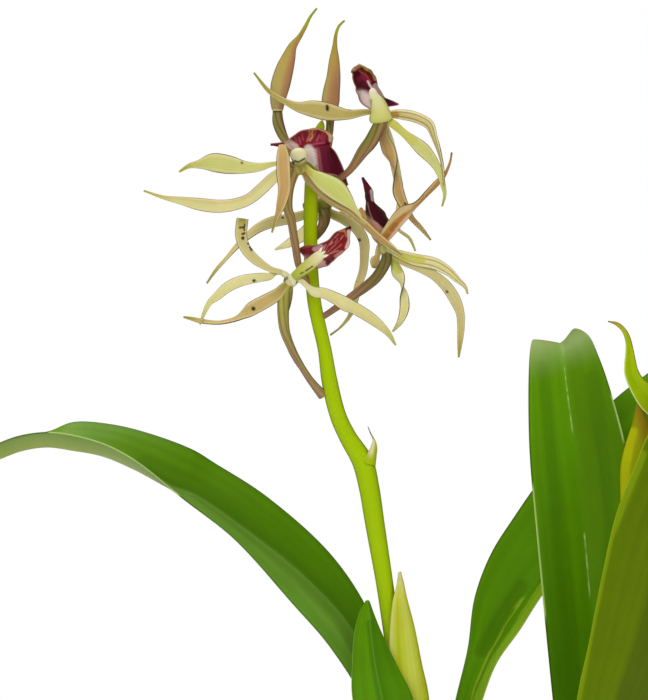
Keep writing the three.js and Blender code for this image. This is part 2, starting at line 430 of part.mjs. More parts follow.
// Blooms. Each tepal is a ribbon whose stations start at the hub and are given from it, as
// [right, away, up, half width, roll]. Lip, column and stalk are given in the plant's own frame: the lip
// by its two margins and the line between them, the column and the stalk by [x, y, z, radius].
const blooms = {
  a: {
    hub: [-34, -8, 408.7],
    tepals: [
      { stations: [[-4.5, -0.5, 1.8, 0.9], [-12.2, -1.5, 1, 1.8], [-19.2, -2, 2.1, 3],
        [-24.8, -2, 3.3, 2.8], [-29.7, -1.5, 3.8, 1.6], [-33.9, -0.5, 5.4, 1.1], [-39.5, 1.5, 8.9, 0.8],
        [-45.1, 4, 15.7, 0.3]] },
      { stations: [[2.8, -1, 1, 1.4], [7.7, -3, 1.2, 1.8], [12.2, -4.5, 0.3, 1.7], [16.4, -5.5, -1.9, 1.6],
        [18.5, -6, -6.6, 1.2, 30], [20.3, -6.5, -14, 1.1, 60], [21, -7, -19.2, 0.8, 60],
        [21, -7, -24.1, 0.3, 60]] },
      { stations: [[3.5, -0.5, -2.3, 0.9], [7.6, -2, -5.8, 1.3], [13.6, -3, -11, 2.4],
        [17.5, -3.5, -15.4, 1.8], [19.8, -3.5, -19.7, 1.2], [20.9, -3.5, -23.7, 0.9],
        [21.5, -3, -27.1, 0.6], [20.6, -3, -31.1, 0.3]] },
      { stations: [[0.6, 1, -2.3, 1], [0.2, 4, -6.3, 1.6], [1.9, 7, -11, 2.4], [3.8, 9, -15.7, 2.2, 55],
        [5.2, 10, -21.5, 2, 130], [5.8, 10.5, -25.9, 2.1, 170], [7.6, 10.5, -30.1, 1.7, 180],
        [10.1, 10, -35, 1, 180], [13.6, 9, -38.8, 0.8, 180], [16.8, 8, -42.7, 0.3, 180]] },
      { stations: [[0, 4, -1, 1.2], [1.5, 9, -8, 2], [3, 13, -18, 2.3], [3.6, 15, -28, 1.8],
        [3.8, 15, -35, 1.2], [5.4, 15.5, -38.8, 0.9], [9.4, 16, -42, 0.8], [11.5, 16, -46.5, 0.3]] },
    ],
    lip: [
      [[-36, -6.5, 410.3], [-41.6, -6.5, 413.5], [-43.2, -7.5, 416.5], [-44.2, -8.5, 420],
        [-44.9, -9, 423.5], [-44.9, -8.5, 426], [-42.6, -8, 427.4]],
      [[-35.2, -6.2, 410.2], [-39.5, -4.5, 414.5], [-40.3, -4, 418], [-40.6, -4, 421.5],
        [-41, -4.5, 424.5], [-41.6, -6, 426.5], [-42.3, -7.7, 427.8]],
      [[-34.5, -6.2, 410.2], [-28.4, -6, 413.2], [-33.5, -7, 416], [-35.8, -8, 420.3],
        [-36.8, -9, 424], [-39.5, -9.5, 426.5], [-42, -8, 427.4]],
    ],
    column: [[-34.2, -8.6, 409.6, 3], [-36.3, -10.6, 414, 2.5], [-38.4, -12, 418, 1.7]],
    stalk: [[-34, -8, 408.7, 2.4], [-35.4, -8.5, 405.6, 2.4], [-38.8, -10, 400.3, 2.4],
      [-41.7, -11, 396.8, 2.1], [-46.6, -12, 389.4, 1.3], [-52.5, -7, 383.5, 1.1], [-56.5, -2, 380.2, 1.1],
      [-58.8, 0, 378.6, 1.3]],
  },
  b: {
    hub: [-63.4, -16, 390.9],
    tepals: [
      { stations: [[-2.4, -0.5, 1.4, 0.8], [-8.4, -2, 1.4, 0.8], [-13.6, -3, 0.7, 1.5],
        [-18.5, -3.5, 0.7, 2.2], [-24.1, -4, 1.6, 3.3], [-29.9, -4, 2.4, 3.3], [-34.6, -3.5, 1.8, 1.6],
        [-38.1, -3, 1.2, 0.9], [-41.6, -2.5, -0.9, 0.3]] },
      { stations: [[-3.1, -0.5, 0.7, 1], [-8.4, -1, -2.6, 2.1], [-12.8, -1, -6.1, 2.3],
        [-17.5, -0.5, -10, 2.1], [-22.8, 0, -12.2, 2.1], [-28.3, 0.5, -12.9, 2.2],
        [-34.6, 1, -12.2, 2.1], [-40.9, 1.5, -11.2, 1.3], [-46.9, 2, -10.3, 0.7], [-54, 3, -7.9, 0.3]] },
      { facing: [0, -0.6, 0.8], stations: [[-3.4, -3, 1.5, 1.2], [-5.2, -9, 4.5, 2.2],
        [-5.6, -15, 7.2, 2.7], [-5.5, -19, 7.7, 2.9], [-5.2, -22, 3.1, 3], [-5.2, -23.5, -2.1, 2.8],
        [-4.9, -24, -7.3, 2.3], [-6.3, -24, -13.6, 1.8], [-7.9, -23, -18.2, 0.9],
        [-9.2, -22, -22.8, 0.3]] },
      { stations: [[1.4, -0.5, 1, 0.8], [4.5, -1.5, -1.4, 1.2], [9.1, -2, -5.2, 3], [13.6, -2, -8, 3.7],
        [17.8, -2, -11.9, 3], [21.3, -1.5, -16.1, 1.5], [23.8, -1, -20.6, 0.3]] },
      { stations: [[1.8, 0.5, -1.8, 1], [3.8, 1.5, -4.9, 1.6, 40], [7.3, 2, -8.8, 1.9, 50],
        [12.2, 2, -12.2, 2, 45], [17.8, 1.5, -15.4, 2, 45], [22, 1, -18.9, 2, 45],
        [26.9, 0.5, -23.4, 1.8, 45], [31.8, 0, -27.3, 1.2, 30], [36, -0.5, -30.4, 0.3]] },
    ],
    lip: [
      [[-73, -11.5, 399.9], [-68.6, -12, 400.4], [-66.5, -12.5, 401.5], [-63, -12.5, 404],
        [-59.2, -12.5, 404.9], [-55.3, -12, 404.9], [-51.6, -11, 402.2], [-50.3, -9.5, 397.5],
        [-47.8, -7.5, 390.8], [-46.2, -6, 385.2]],
      [[-73.3, -11.2, 399.5], [-69, -11, 399], [-66, -9.5, 399.2], [-63, -8, 399.2], [-59.5, -6.8, 399],
        [-56, -6.3, 398.8], [-53, -6.2, 397.3], [-51.5, -6, 394], [-49.2, -5.6, 389], [-46.4, -5.5, 385]],
      [[-73, -11, 399.2], [-68.6, -11.5, 397.9], [-65.2, -12.2, 396.5], [-62.6, -14.2, 392.6],
        [-59.5, -12.5, 391.2], [-56, -10, 390.2], [-53, -8, 389.5], [-50.2, -6.6, 388.2],
        [-48.2, -6, 386.5], [-46.6, -5.3, 384.8]],
    ],
    column: [[-63.2, -17, 391.8, 2.3], [-62.8, -21, 394.4, 2.7], [-62.4, -25, 396.4, 2.9]],
    stalk: [[-63.4, -16, 390.9, 1.4], [-65.6, -16, 387.5, 1.5], [-66.9, -15, 382.6, 1.6],
      [-67.2, -14, 376.9, 1.7], [-66.2, -13, 373.7, 1.6], [-64.8, -11.5, 367.8, 1.4],
      [-63.9, -9.5, 362.9, 1.3], [-63, -6, 356.9, 1.2], [-60.9, -2, 352, 1.2], [-59, 0, 349.5, 1.4]],
  },
  c: {
    hub: [-66.2, -14, 351.6],
    tepals: [
      { stations: [[-2.4, -1, 2.8, 1], [-7.3, -2.5, 4.2, 1.3], [-12.2, -4, 7.2, 1.7],
        [-15.7, -5, 11.2, 1.9], [-17.3, -5.5, 15.4, 2], [-17.6, -5, 19.4, 2], [-16.6, -3.4, 21.8, 1.9],
        [-15.2, -1.8, 21.4, 0.8]] },
      { stations: [[-2.4, -1, 1.4, 1], [-5.9, -2, 1.6, 1.2], [-11, -3, 1, 1.7], [-16.8, -3.5, 0, 2],
        [-21.5, -3.5, -2.4, 2.1], [-25.5, -3, -5.9, 1.7], [-28, -2.5, -7.7, 1.1], [-30.1, -2, -11.2, 0.7],
        [-31.6, -1.5, -15.2, 0.3]] },
      { stations: [[-2.4, -1.5, -2, 1.4], [-4.6, -1.5, -4.6, 2.1], [-8.8, -1.5, -7, 2.4],
        [-13.3, -1.5, -9.4, 2.4], [-16.8, -1, -11.7, 2, 45], [-19.7, -0.5, -13.2, 1.8, 65],
        [-24.5, 0, -14.3, 1.7, 70], [-29.7, 0.5, -14, 1.5, 60], [-34.3, 1, -13.2, 0.8, 30],
        [-37.4, 1, -12.6, 0.3]] },
      { stations: [[3.5, -0.5, 0, 1], [6.6, -1.5, -2.3, 1.3], [10.8, -2, -4, 2], [16.4, -2, -6.6, 2.4],
        [22.8, -1, -9.8, 2.2], [29, 0, -13.8, 1.9], [33.9, 1, -18.2, 1.1], [36.6, 1.5, -22.4, 0.3]] },
      { facing: [0, 0, 1], stations: [[-0.6, 5, -4, 1.4, 20], [-1.6, 9, -10, 2, 60],
        [-1.6, 11, -16, 1.8, 80], [-0.4, 12, -22, 1.5, 80], [1.8, 12.5, -27.5, 1, 80],
        [4.6, 13, -32.5, 0.3, 80]] },
    ],
    lip: [
      [[-64.8, -12.4, 352.9], [-61.5, -11.5, 356.5], [-60.6, -9.2, 358.4], [-62.2, -5.8, 360.8],
        [-63.6, -5.2, 362.5], [-61.5, -5, 364], [-58, -5.6, 364.1], [-53.7, -6.5, 365.6],
        [-50.4, -7.5, 368.8], [-47.8, -8.5, 369.8], [-45.6, -9, 370.8]],
      [[-64.4, -12.2, 352.5], [-59.5, -10, 356], [-57.8, -8, 358.2], [-56.8, -7, 360.2],
        [-56, -6.5, 361.2], [-55, -6.3, 361.8], [-53, -6.3, 362.8], [-50.8, -6.4, 364.6],
        [-48.8, -7, 366.6], [-46.8, -8.2, 368.8], [-45.3, -9.2, 370.6]],
      [[-64, -12.4, 352.1], [-59, -11.5, 354.5], [-56.5, -11, 355.8], [-54.3, -10.5, 356.6],
        [-52.5, -10.2, 357.4], [-51, -10, 358.8], [-49, -10, 360.6], [-47.3, -10, 362],
        [-45.6, -9.8, 364.3], [-45.6, -9.5, 367.6], [-45, -9.2, 370.2]],
    ],
    column: [[-65.2, -15.2, 352.6, 1.6], [-59.5, -18, 357.8, 1.8], [-54.2, -20, 360.8, 2]],
    stalk: [[-66.2, -14, 351.6, 2.1], [-67.9, -13.5, 348.4, 2.1], [-68.1, -13.5, 345, 2.2],
      [-68.1, -13, 339.4, 2], [-67.6, -11.5, 334.1, 1.8], [-65.5, -9, 328.2, 1.5],
      [-62.3, -5.5, 321.9, 1.2], [-58.8, -2.5, 317, 1.3], [-54.6, 0, 313.2, 1.8]],
  },
  d: {
    hub: [-32.9, -4, 362.9],
    tepals: [
      { stations: [[-1, -2, 2.6, 1.8], [1.8, -4, 7, 2.4], [5.6, -5, 11.9, 2.6], [10, -4.5, 15.2, 2, 60],
        [14.3, -3, 19.6, 1.8, 60], [17.8, -2.5, 23.4, 1.4, 40], [20.4, -2.5, 26.1, 0.8, 20],
        [22.6, -3, 30.4, 0.5], [22.9, -3.5, 33.6, 0.3]] },
      { stations: [[2, -1.5, 0.8, 1], [8.4, -2.5, -2, 1.2], [14, -3, -2.9, 1.7], [19.9, -3, -5.4, 1.7],
        [24.7, -2.5, -9.1, 1], [27.5, -2, -12.6, 0.6], [28.5, -1.5, -15.4, 0.3]] },
      { stations: [[2.1, -0.5, -2.1, 1], [5.5, -1, -4.4, 1.2], [10.7, -1, -6.3, 1.5],
        [16.4, -1, -9.1, 1.7], [20.8, -1, -12.9, 2], [24.1, -0.5, -17.8, 2], [25.9, 0, -22.6, 1.5],
        [26.2, 0.5, -27.3, 1.3], [25.9, 1, -32.2, 1], [25.4, 1.5, -38, 0.3]] },
      { stations: [[1.4, 1, -2.1, 0.8], [2.6, 2, -4.4, 1.2], [4, 3, -8.2, 2.1], [5.9, 3.5, -12.1, 1.9, 70],
        [6.9, 4, -16.8, 1.8, 150], [6.9, 4, -21.2, 1.7, 180], [4.9, 4, -25.5, 1.1, 180],
        [2.3, 4, -29, 0.3, 180]] },
      { stations: [[-3.5, 2, 4, 1.2, 30], [-5.5, 8, 9.5, 1.8, 30], [-7.5, 17, 12.5, 1.8, 30],
        [-8.5, 24, 14, 1, 30], [-8.2, 30, 14, 0.3, 30]] },
    ],
    lip: [
      [[-34.5, -4.2, 364.4], [-36, -2, 367], [-38.6, -1, 371], [-40, -0.5, 375], [-40.4, -0.8, 380],
        [-40.6, -1.8, 384], [-41.4, -2.8, 387.7]],
      [[-34.2, -5, 364.6], [-34.8, -5, 367.5], [-35.8, -5, 371.5], [-37, -4.8, 376], [-38.6, -4, 380.5],
        [-39.6, -3.5, 384], [-41.1, -3.2, 387.9]],
      [[-33.4, -3.4, 364.8], [-31.8, -1.5, 368], [-31.2, -0.5, 372], [-32.5, -0.2, 376], [-37, -1, 379.2],
        [-37.6, -1.8, 383.2], [-40.8, -2.8, 387.7]],
    ],
    column: [[-33.2, -2.4, 364.2, 1.7], [-34, 0.5, 368, 1.7], [-34.8, 3.5, 371, 2]],
    stalk: [[-32.9, -4, 362.9, 2], [-32.6, -4, 360.1, 2], [-33.2, -4, 357.9, 2], [-36.5, -4, 352.7, 1.9],
      [-41, -3.5, 348.9, 1.8], [-43.8, -3.2, 346.9, 1.6], [-50.4, -2, 342.2, 1.2], [-55, -0.5, 339.2, 1.1],
      [-57.2, 0, 338.4, 1.3]],
  },
  e: {
    hub: [-55, 11, 378.2],
    tepals: [
      { stations: [[-3, -0.5, -1.3, 1], [-6.3, -1, -3.1, 1.6], [-12.2, -2, -4.7, 1.9],
        [-17.8, -3, -5.8, 2], [-22.8, -4, -7.9, 1.8, 20], [-26.6, -5, -10.8, 1.6, 40],
        [-30.1, -5.5, -14, 1.4, 50], [-33.9, -6, -18.4, 1, 50], [-37.3, -6, -22.4, 0.7, 30],
        [-40.7, -6, -27.3, 0.3]] },
      { stations: [[-2, 1.2, -3, 1.2], [-3.8, 2, -5.9, 1.7], [-7, 3, -10.1, 2.2], [-11.5, 3.5, -12.9, 1.6],
        [-16.9, 4, -15.4, 0.3]] },
      { stations: [[2.8, 1.5, -2.6, 1.5], [7.7, 0, -4.9, 1.9], [11.5, -2, -7.7, 1.9],
        [14.3, -3, -12.2, 1.9], [14.7, -4, -17.8, 1.8], [13.3, -4, -23.4, 1.6], [11.5, -4, -28.3, 1.4],
        [9.1, -4, -34.3, 1], [5.9, -4, -40.2, 0.7], [2.8, -4, -45.3, 0.3]] },
      { facing: [0, -0.3, 1], stations: [[3.5, 6, 0.5, 1.4], [6, 15, 2, 2.1, 20], [7, 25, 1.5, 2, 20],
        [7.2, 34, -2, 1.2, 20], [6.5, 41, -8, 0.3, 20]] },
      { facing: [0, -0.3, 1], stations: [[-3.5, 6, 0.5, 1.4], [-5.5, 15, 2, 1.9, -30],
        [-5.6, 25, 1, 1.8, -30], [-5, 34, -3, 1.1, -30], [-4.5, 40, -10, 0.3, -30]] },
    ],
    lip: [
      [[-56, 12.6, 379.6], [-59.5, 16, 384], [-61.8, 19, 388.5], [-60.5, 23, 393.5], [-57, 26, 397.5],
        [-54.8, 27.6, 399.6]],
      [[-55, 13, 380], [-55, 19, 384], [-54.8, 23, 388], [-54.6, 26, 392.5], [-54.4, 27.8, 396.8],
        [-54.3, 28.4, 400]],
      [[-54, 12.6, 379.6], [-50.3, 16, 384], [-47.8, 19, 388.5], [-48.6, 23, 393.5], [-51.8, 26, 397.5],
        [-53.8, 27.6, 399.6]],
    ],
    column: [[-55, 12.6, 378.2, 1.6], [-55, 18, 378.8, 1.7], [-54.8, 23, 380.2, 1.9]],
    stalk: [[-55, 11, 378.2, 2], [-53.8, 9, 375.6, 2], [-53.6, 7, 372.3, 1.9], [-55, 4.5, 369.1, 1.6],
      [-58, 1.2, 366, 1.4]],
  },
};

// Buds and their stalks: [x, y, z, radius]
const buds = {
  bud_1: {
    bud: [[-70.9, 4, 411.3, 2], [-70.7, 4, 415, 2.6], [-69.8, 4, 420.2, 3.3], [-68.4, 4, 425.5, 3.1],
      [-67, 4, 429.7, 2.4], [-65.6, 4, 433.9, 1.6], [-63.1, 4, 437.4, 0.9], [-61.1, 4, 440.9, 0.7],
      [-59.5, 4, 444.1, 0.5], [-57.1, 4, 447.3, 0.35]],
    stalk: [[-70.9, 4, 410.8, 1.8], [-70.6, 4, 407.5, 1.8], [-69.3, 4, 403.4, 1.6],
      [-67.6, 3.7, 399.9, 1.4], [-65.5, 3, 395.8, 1.2], [-62, 1.5, 392.5, 1.2], [-58.6, 0, 390.5, 1.3]],
  },
  bud_2: {
    bud: [[-52.3, 4, 409.1, 2], [-52.3, 4, 414.3, 2.9], [-52, 4, 417.8, 2.8], [-51.3, 4, 422.7, 2.3],
      [-51, 4, 429, 1.7], [-50.8, 4, 434.2, 0.9], [-50.4, 4, 438.1, 0.6], [-49.4, 4, 440.9, 0.5],
      [-47.4, 4, 443, 0.35]],
    stalk: [[-52.4, 4, 408.8, 1.5], [-52.5, 4, 406.5, 1.4], [-52.9, 3.5, 403.1, 1.4],
      [-54.6, 2, 397.5, 1.2], [-58.2, 0, 394, 1.3]],
  },
};

// Tepals of one bloom, joined at its hub
function tepals({ hub, tepals: arms }, grow = 0) {
  const ribbons = arms.map(({ stations, facing }) => {
    const placed = [[0, 0, 0, tepalFoot], ...stations].map(([right, away, up, ...shape]) =>
      [...plus(hub, [right, away, up]), ...shape]);
    return ribbon(placed, { facing, grow });
  });
  return wasm.Manifold.union([ball(hub, hubRadius + grow), ...ribbons]);
}

// Named mesh of a body, with the colour and finish of its piece
function mesh(name, solid, colour, roughness) {
  const { vertProperties, triVerts } = solid.simplify(simplifyWithin).getMesh();
  const geometry = new THREE.BufferGeometry();
  geometry.setAttribute('position', new THREE.BufferAttribute(new Float32Array(vertProperties), 3));
  geometry.setIndex(new THREE.BufferAttribute(new Uint32Array(triVerts), 1));
  geometry.computeVertexNormals();
  const material = new THREE.MeshStandardMaterial({ color: colour, roughness, metalness: 0 });
  const piece = new THREE.Mesh(geometry, material);
  piece.name = name;
  return piece;
}

const orchid = new THREE.Group();

// Pot, filling and bulbs
const grownBulbs = Object.values(bulbs).map((stations) => pseudobulb(stations, clearance));
const grownRhizome = rhizome(clearance);
orchid.add(mesh('pot', pot(), 0xa5694b, 0.8));
orchid.add(mesh('bark_mix', barkMix(...grownBulbs, grownRhizome), 0x6b4630, 0.95));
orchid.add(mesh('rhizome_and_roots', rhizome(), 0xb9b08a, 0.7));
for (const [name, stations] of Object.entries(bulbs)) {
  orchid.add(mesh(name, clearOf(pseudobulb(stations), grownRhizome), 0x7fa23a, 0.45));
}

// Leaves and young growth
for (const [name, lines] of Object.entries(leaves)) {
  orchid.add(mesh(name, blade(lines), 0x3f8a10, 0.4));
}
orchid.add(mesh('young_sheath', blade(youngSheath, { bulge: 0.6 }), 0xb4b81a, 0.5));
orchid.add(mesh('young_leaf', blade(youngLeaf), 0x9aae18, 0.45));

// Flower spike
const spike = rod(stem, { sides: 10, steps: 24 });
const grownSpike = rod(stem, { sides: 10, steps: 24, grow: clearance });
orchid.add(mesh('flower_stem', spike, 0xa2c000, 0.45));
const sheath = blade(spathe, { thickness: 0.8, bulge: 1.6 });
orchid.add(mesh('spathe', clearOf(sheath, grownSpike), 0xcbd552, 0.5));
const bract = blade(stemBract, { steps: 6, thickness: 0.8 });
orchid.add(mesh('stem_bract', clearOf(bract, grownSpike), 0xc2bd72, 0.7));

// Open blooms
for (const [letter, bloom] of Object.entries(blooms)) {
  const name = `bloom_${letter}`;
  const grownTepals = tepals(bloom, clearance);
  const grownStalk = rod(bloom.stalk, { steps: 10, grow: clearance });
  const grownColumn = rod(bloom.column, { steps: 3, grow: clearance });
  const column = rod(bloom.column, { steps: 3 });
  const lip = blade(bloom.lip, { steps: 13, thickness: lipThickness });
  const stalk = rod(bloom.stalk, { steps: 10 });
  orchid.add(mesh(`${name}_tepals`, tepals(bloom), 0xd8c884, 0.5));
  orchid.add(mesh(`${name}_column`, clearOf(column, grownTepals), 0xd9e08a, 0.4));
  orchid.add(mesh(`${name}_lip`, clearOf(lip, grownTepals, grownColumn, grownStalk), 0x6e0f28, 0.4));
  orchid.add(mesh(`${name}_stalk`, clearOf(stalk, grownTepals, grownColumn, grownSpike), 0x8a7a3e, 0.5));
}

// Buds
for (const [name, { bud, stalk }] of Object.entries(buds)) {
  orchid.add(mesh(name, rod(bud, { steps: 10 }), 0xa09a44, 0.45));
  orchid.add(mesh(`${name}_stalk`, clearOf(rod(stalk, { steps: 7 }), grownSpike), 0x8a7040, 0.5));
}

export default orchid;
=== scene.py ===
# %% [markdown]
# # A potted cockleshell orchid
#
# The plant has ribbed pseudobulbs in a pot of bark, strap leaves, and one flower spike. Each bloom carries
# five narrow tepals that hang like arms under a dark, shell-shaped lip. The solid model of every piece is
# loaded first as a fixed frame. Each cell then dresses a piece: it makes a finer surface in the same place,
# hides the plain solid behind it, and gives it a finish.

# %% Load the frame
import bpy
import numpy as np
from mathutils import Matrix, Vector


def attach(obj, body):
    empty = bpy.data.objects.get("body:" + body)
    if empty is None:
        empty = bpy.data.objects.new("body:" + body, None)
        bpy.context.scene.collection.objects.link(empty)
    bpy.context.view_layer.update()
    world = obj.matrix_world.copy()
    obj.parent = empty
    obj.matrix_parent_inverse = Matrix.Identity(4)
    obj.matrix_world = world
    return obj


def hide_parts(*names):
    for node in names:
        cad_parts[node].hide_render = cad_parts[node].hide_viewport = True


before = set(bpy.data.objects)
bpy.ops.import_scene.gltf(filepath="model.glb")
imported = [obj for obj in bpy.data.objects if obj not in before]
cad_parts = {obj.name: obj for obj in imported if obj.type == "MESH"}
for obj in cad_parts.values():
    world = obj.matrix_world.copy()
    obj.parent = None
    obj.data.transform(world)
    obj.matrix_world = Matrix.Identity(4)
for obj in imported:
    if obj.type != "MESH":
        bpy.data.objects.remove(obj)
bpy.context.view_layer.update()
MM = 0.001
TURN = 2 * np.pi
print("nodes in the frame:", len(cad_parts))

# %% [markdown]
# ## Camera, light and floor
#
# The flower spike is seen level and from far off, so nothing in it is foreshortened. A short lens nearby
# would swell the front blooms. A long lens from three metres keeps every stalk parallel to the picture.

# %% Camera
CAMERA_DISTANCE = 3.0
FRAME_HEIGHT = 0.245          # metres of plant that the picture's height covers
FRAME_CENTRE = (-0.0546, 0.3275)
SENSOR = 36.0

camera_data = bpy.data.cameras.new("view")
camera_data.sensor_fit = "VERTICAL"
camera_data.sensor_height = SENSOR
camera_data.lens = SENSOR * CAMERA_DISTANCE / FRAME_HEIGHT
camera = bpy.data.objects.new("view", camera_data)
camera.location = (FRAME_CENTRE[0], -CAMERA_DISTANCE, FRAME_CENTRE[1])
camera.rotation_euler = (np.pi / 2, 0, 0)
bpy.context.collection.objects.link(camera)
bpy.context.scene.camera = camera
print("lens in mm:", round(camera_data.lens, 1))

# %% [markdown]
# The plant is lit as for a catalogue: a wide soft lamp from above the camera, a ceiling lamp that puts the
# gloss on whatever faces up, and weak lamps at the side and behind. White walls all round would be simpler,
# but a waxy leaf mirrors them and turns grey, so mirror rays see a dimmer room and skip the front lamps. What
# the camera sees behind the plant is plain white.

# %% Light
AMBIENT = 0.34
AMBIENT_IN_GLOSS = 0.06


def lamp(name, place, aim, width, watts, gloss=True):
    """Square lamp at a place, turned so that its face looks at the aim."""
    data = bpy.data.lights.new(name, "AREA")
    data.size, data.energy = width, watts
    lamp_object = bpy.data.objects.new(name, data)
    lamp_object.location = place
    towards = lamp_object.location - Vector(aim)
    lamp_object.rotation_euler = towards.to_track_quat("Z", "Y").to_euler()
    lamp_object.visible_glossy = gloss
    bpy.context.collection.objects.link(lamp_object)


PLANT_CENTRE = (-0.03, 0.0, 0.32)
lamp("front", (-0.6, -2.3, 1.1), PLANT_CENTRE, 1.3, 34, gloss=False)
lamp("side", (1.8, -1.2, 0.6), PLANT_CENTRE, 1.0, 7, gloss=False)
lamp("ceiling", (-0.3, 0.3, 2.1), PLANT_CENTRE, 1.3, 22)
lamp("behind", (-0.9, 2.0, 0.9), PLANT_CENTRE, 1.2, 12, gloss=False)


def node(tree, kind, links=(), **settings):
    """Adds one node. A setting whose name is an input fills that input, any other sets a property of the
    node, and each link is (output, name of the input it feeds)."""
    made = tree.nodes.new(kind)
    for name, value in settings.items():
        if hasattr(made, name):
            setattr(made, name, value)
        else:
            made.inputs[name.replace("_", " ")].default_value = value
    for output, name in links:
        tree.links.new(output, made.inputs[name])
    return made


world = bpy.data.worlds.new("bright_room")
bpy.context.scene.world = world
world.use_nodes = True
world.node_tree.nodes.clear()
rays = node(world.node_tree, "ShaderNodeLightPath").outputs
gloss = node(world.node_tree, "ShaderNodeMapRange", [(rays["Is Glossy Ray"], "Value")],
             To_Min=AMBIENT, To_Max=AMBIENT_IN_GLOSS).outputs[0]
level = node(world.node_tree, "ShaderNodeMath", [(gloss, 0), (rays["Is Camera Ray"], 1)],
             operation="MAXIMUM").outputs[0]
room = node(world.node_tree, "ShaderNodeBackground", [(level, "Strength")], Color=(1, 1, 1, 1)).outputs[0]
node(world.node_tree, "ShaderNodeOutputWorld", [(room, "Surface")])
bpy.context.scene.view_settings.view_transform = "Standard"

# %% [markdown]
# ## Lines and surfaces
#
# Every part of a plant here follows a curved line: a midrib, a margin, a stem. A Bezier curve would need
# handles set by hand. A Catmull-Rom line needs only the points it passes through, and its centripetal kind
# never loops between points that lie close together.

# %% Lines


def line(points, samples, even=False):
    """Catmull-Rom line through the points. Each stretch is the cubic between two points whose slopes come
    from their neighbours. Knots are apart by the square root of the distance, or evenly."""
    p = np.asarray(points, float)
    p = np.vstack([2 * p[0] - p[1], p, 2 * p[-1] - p[-2]])
    at = np.linspace(0, len(p) - 3, samples)
    first = np.minimum(at.astype(int), len(p) - 4)
    t = (at - first)[:, None]
    p0, p1, p2, p3 = (p[first + k] for k in range(4))
    gaps = [np.sqrt(length(b - a)) if not even else np.ones_like(t) for a, b in ((p0, p1), (p1, p2), (p2, p3))]
    g0, g1, g2 = gaps
    slope1 = g1 * ((p1 - p0) / g0 - (p2 - p0) / (g0 + g1) + (p2 - p1) / g1)
    slope2 = g1 * ((p2 - p1) / g1 - (p3 - p1) / (g1 + g2) + (p3 - p2) / g2)
    return ((2 * t**3 - 3 * t**2 + 1) * p1 + (t**3 - 2 * t**2 + t) * slope1
            + (3 * t**2 - 2 * t**3) * p2 + (t**3 - t**2) * slope2)


def length(vectors):
    return np.linalg.norm(vectors, axis=-1, keepdims=True)


def unit(vectors):
    return vectors / np.maximum(length(vectors), 1e-12)


def share_along(points):
    """How far along the line each point is, from 0 to 1, by the lengths of the steps before it."""
    steps = length(np.diff(points, axis=0))[:, 0]
    walked = np.concatenate([[0], np.cumsum(steps)])
    return walked / walked[-1]


def ripple(u, v, seed, waves=5, reach=(3, 2)):
    """Smooth unevenness between about -1 and 1: a sum of sine waves in u and v with seeded directions."""
    random = np.random.default_rng(seed)
    total = 0
    for _ in range(waves):
        a, b, phase = random.uniform(-reach[0], reach[0]), random.uniform(-reach[1], reach[1]), random.uniform(0, TURN)
        total = total + np.sin(TURN * (a * u + b * v) + phase)
    return total / waves


print("a quarter of the way:", line([(0, 0), (1, 1), (2, 0)], 5)[1].round(2))

# %% [markdown]
# All the surfaces are made of rings. A ring is one closed loop of points round a blade or a rod, and the
# next ring lies a little further along. A mesh could be pushed into shape by hand, but with rings a change
# of one station moves the whole piece smoothly, and a leaf, a stalk and a bulb all use the same code.

# %% Closed skins


def skin(rings, tint, across=None, along=None, rib=0.0):
    """Closed skin over rings[i, k]: neighbouring rings are joined by four-sided faces and each end is a fan
    round the ring's centre. Its UV is (across, along), its tint a colour for each point, and its rib how
    strongly a midrib shows there."""
    rows, columns = rings.shape[:2]
    across = np.linspace(0, 1, columns + 1) if across is None else across
    along = np.linspace(0, 1, rows) if along is None else along
    i, k = (a.ravel() for a in np.meshgrid(np.arange(rows - 1), np.arange(columns), indexing="ij"))
    n = (k + 1) % columns
    quads = np.stack([i * columns + k, i * columns + n, (i + 1) * columns + n, (i + 1) * columns + k], -1)
    quad_uv = np.stack([np.stack([across[k], along[i]], -1), np.stack([across[k + 1], along[i]], -1),
                        np.stack([across[k + 1], along[i + 1]], -1), np.stack([across[k], along[i + 1]], -1)], 1)
    edge = np.arange(columns)
    last = (rows - 1) * columns
    foot, tip = rows * columns, rows * columns + 1
    fans = np.vstack([np.stack([np.full(columns, foot), (edge + 1) % columns, edge], -1),
                      np.stack([np.full(columns, tip), last + edge, last + (edge + 1) % columns], -1)])
    fan_uv = np.vstack([np.stack([np.full((columns, 2), (0.5, along[row])),
                                  np.stack([across[edge + 1], np.full(columns, along[row])], -1),
                                  np.stack([across[edge], np.full(columns, along[row])], -1)], 1)
                        for row in (0, -1)])
    fan_uv[columns:] = fan_uv[columns:, [0, 2, 1]]
    points = np.vstack([rings.reshape(-1, 3), rings[0].mean(0), rings[-1].mean(0)])
    tint = np.broadcast_to(tint, rings.shape)
    tint = np.concatenate([tint, np.broadcast_to(rib, rings.shape[:2])[..., None]], axis=-1)
    tints = np.vstack([tint.reshape(-1, 4), tint[0].mean(0), tint[-1].mean(0)])
    a, b, c, d = (points[quads[:, j]] for j in range(4))
    outward = (np.einsum("ij,ij->", a, np.cross(b, c)) + np.einsum("ij,ij->", a, np.cross(c, d))) > 0
    if not outward:
        quads, quad_uv, fans, fan_uv = quads[:, ::-1], quad_uv[:, ::-1], fans[:, ::-1], fan_uv[:, ::-1]
    return {"points": points, "tints": tints, "faces": [quads, fans], "uvs": [quad_uv, fan_uv]}


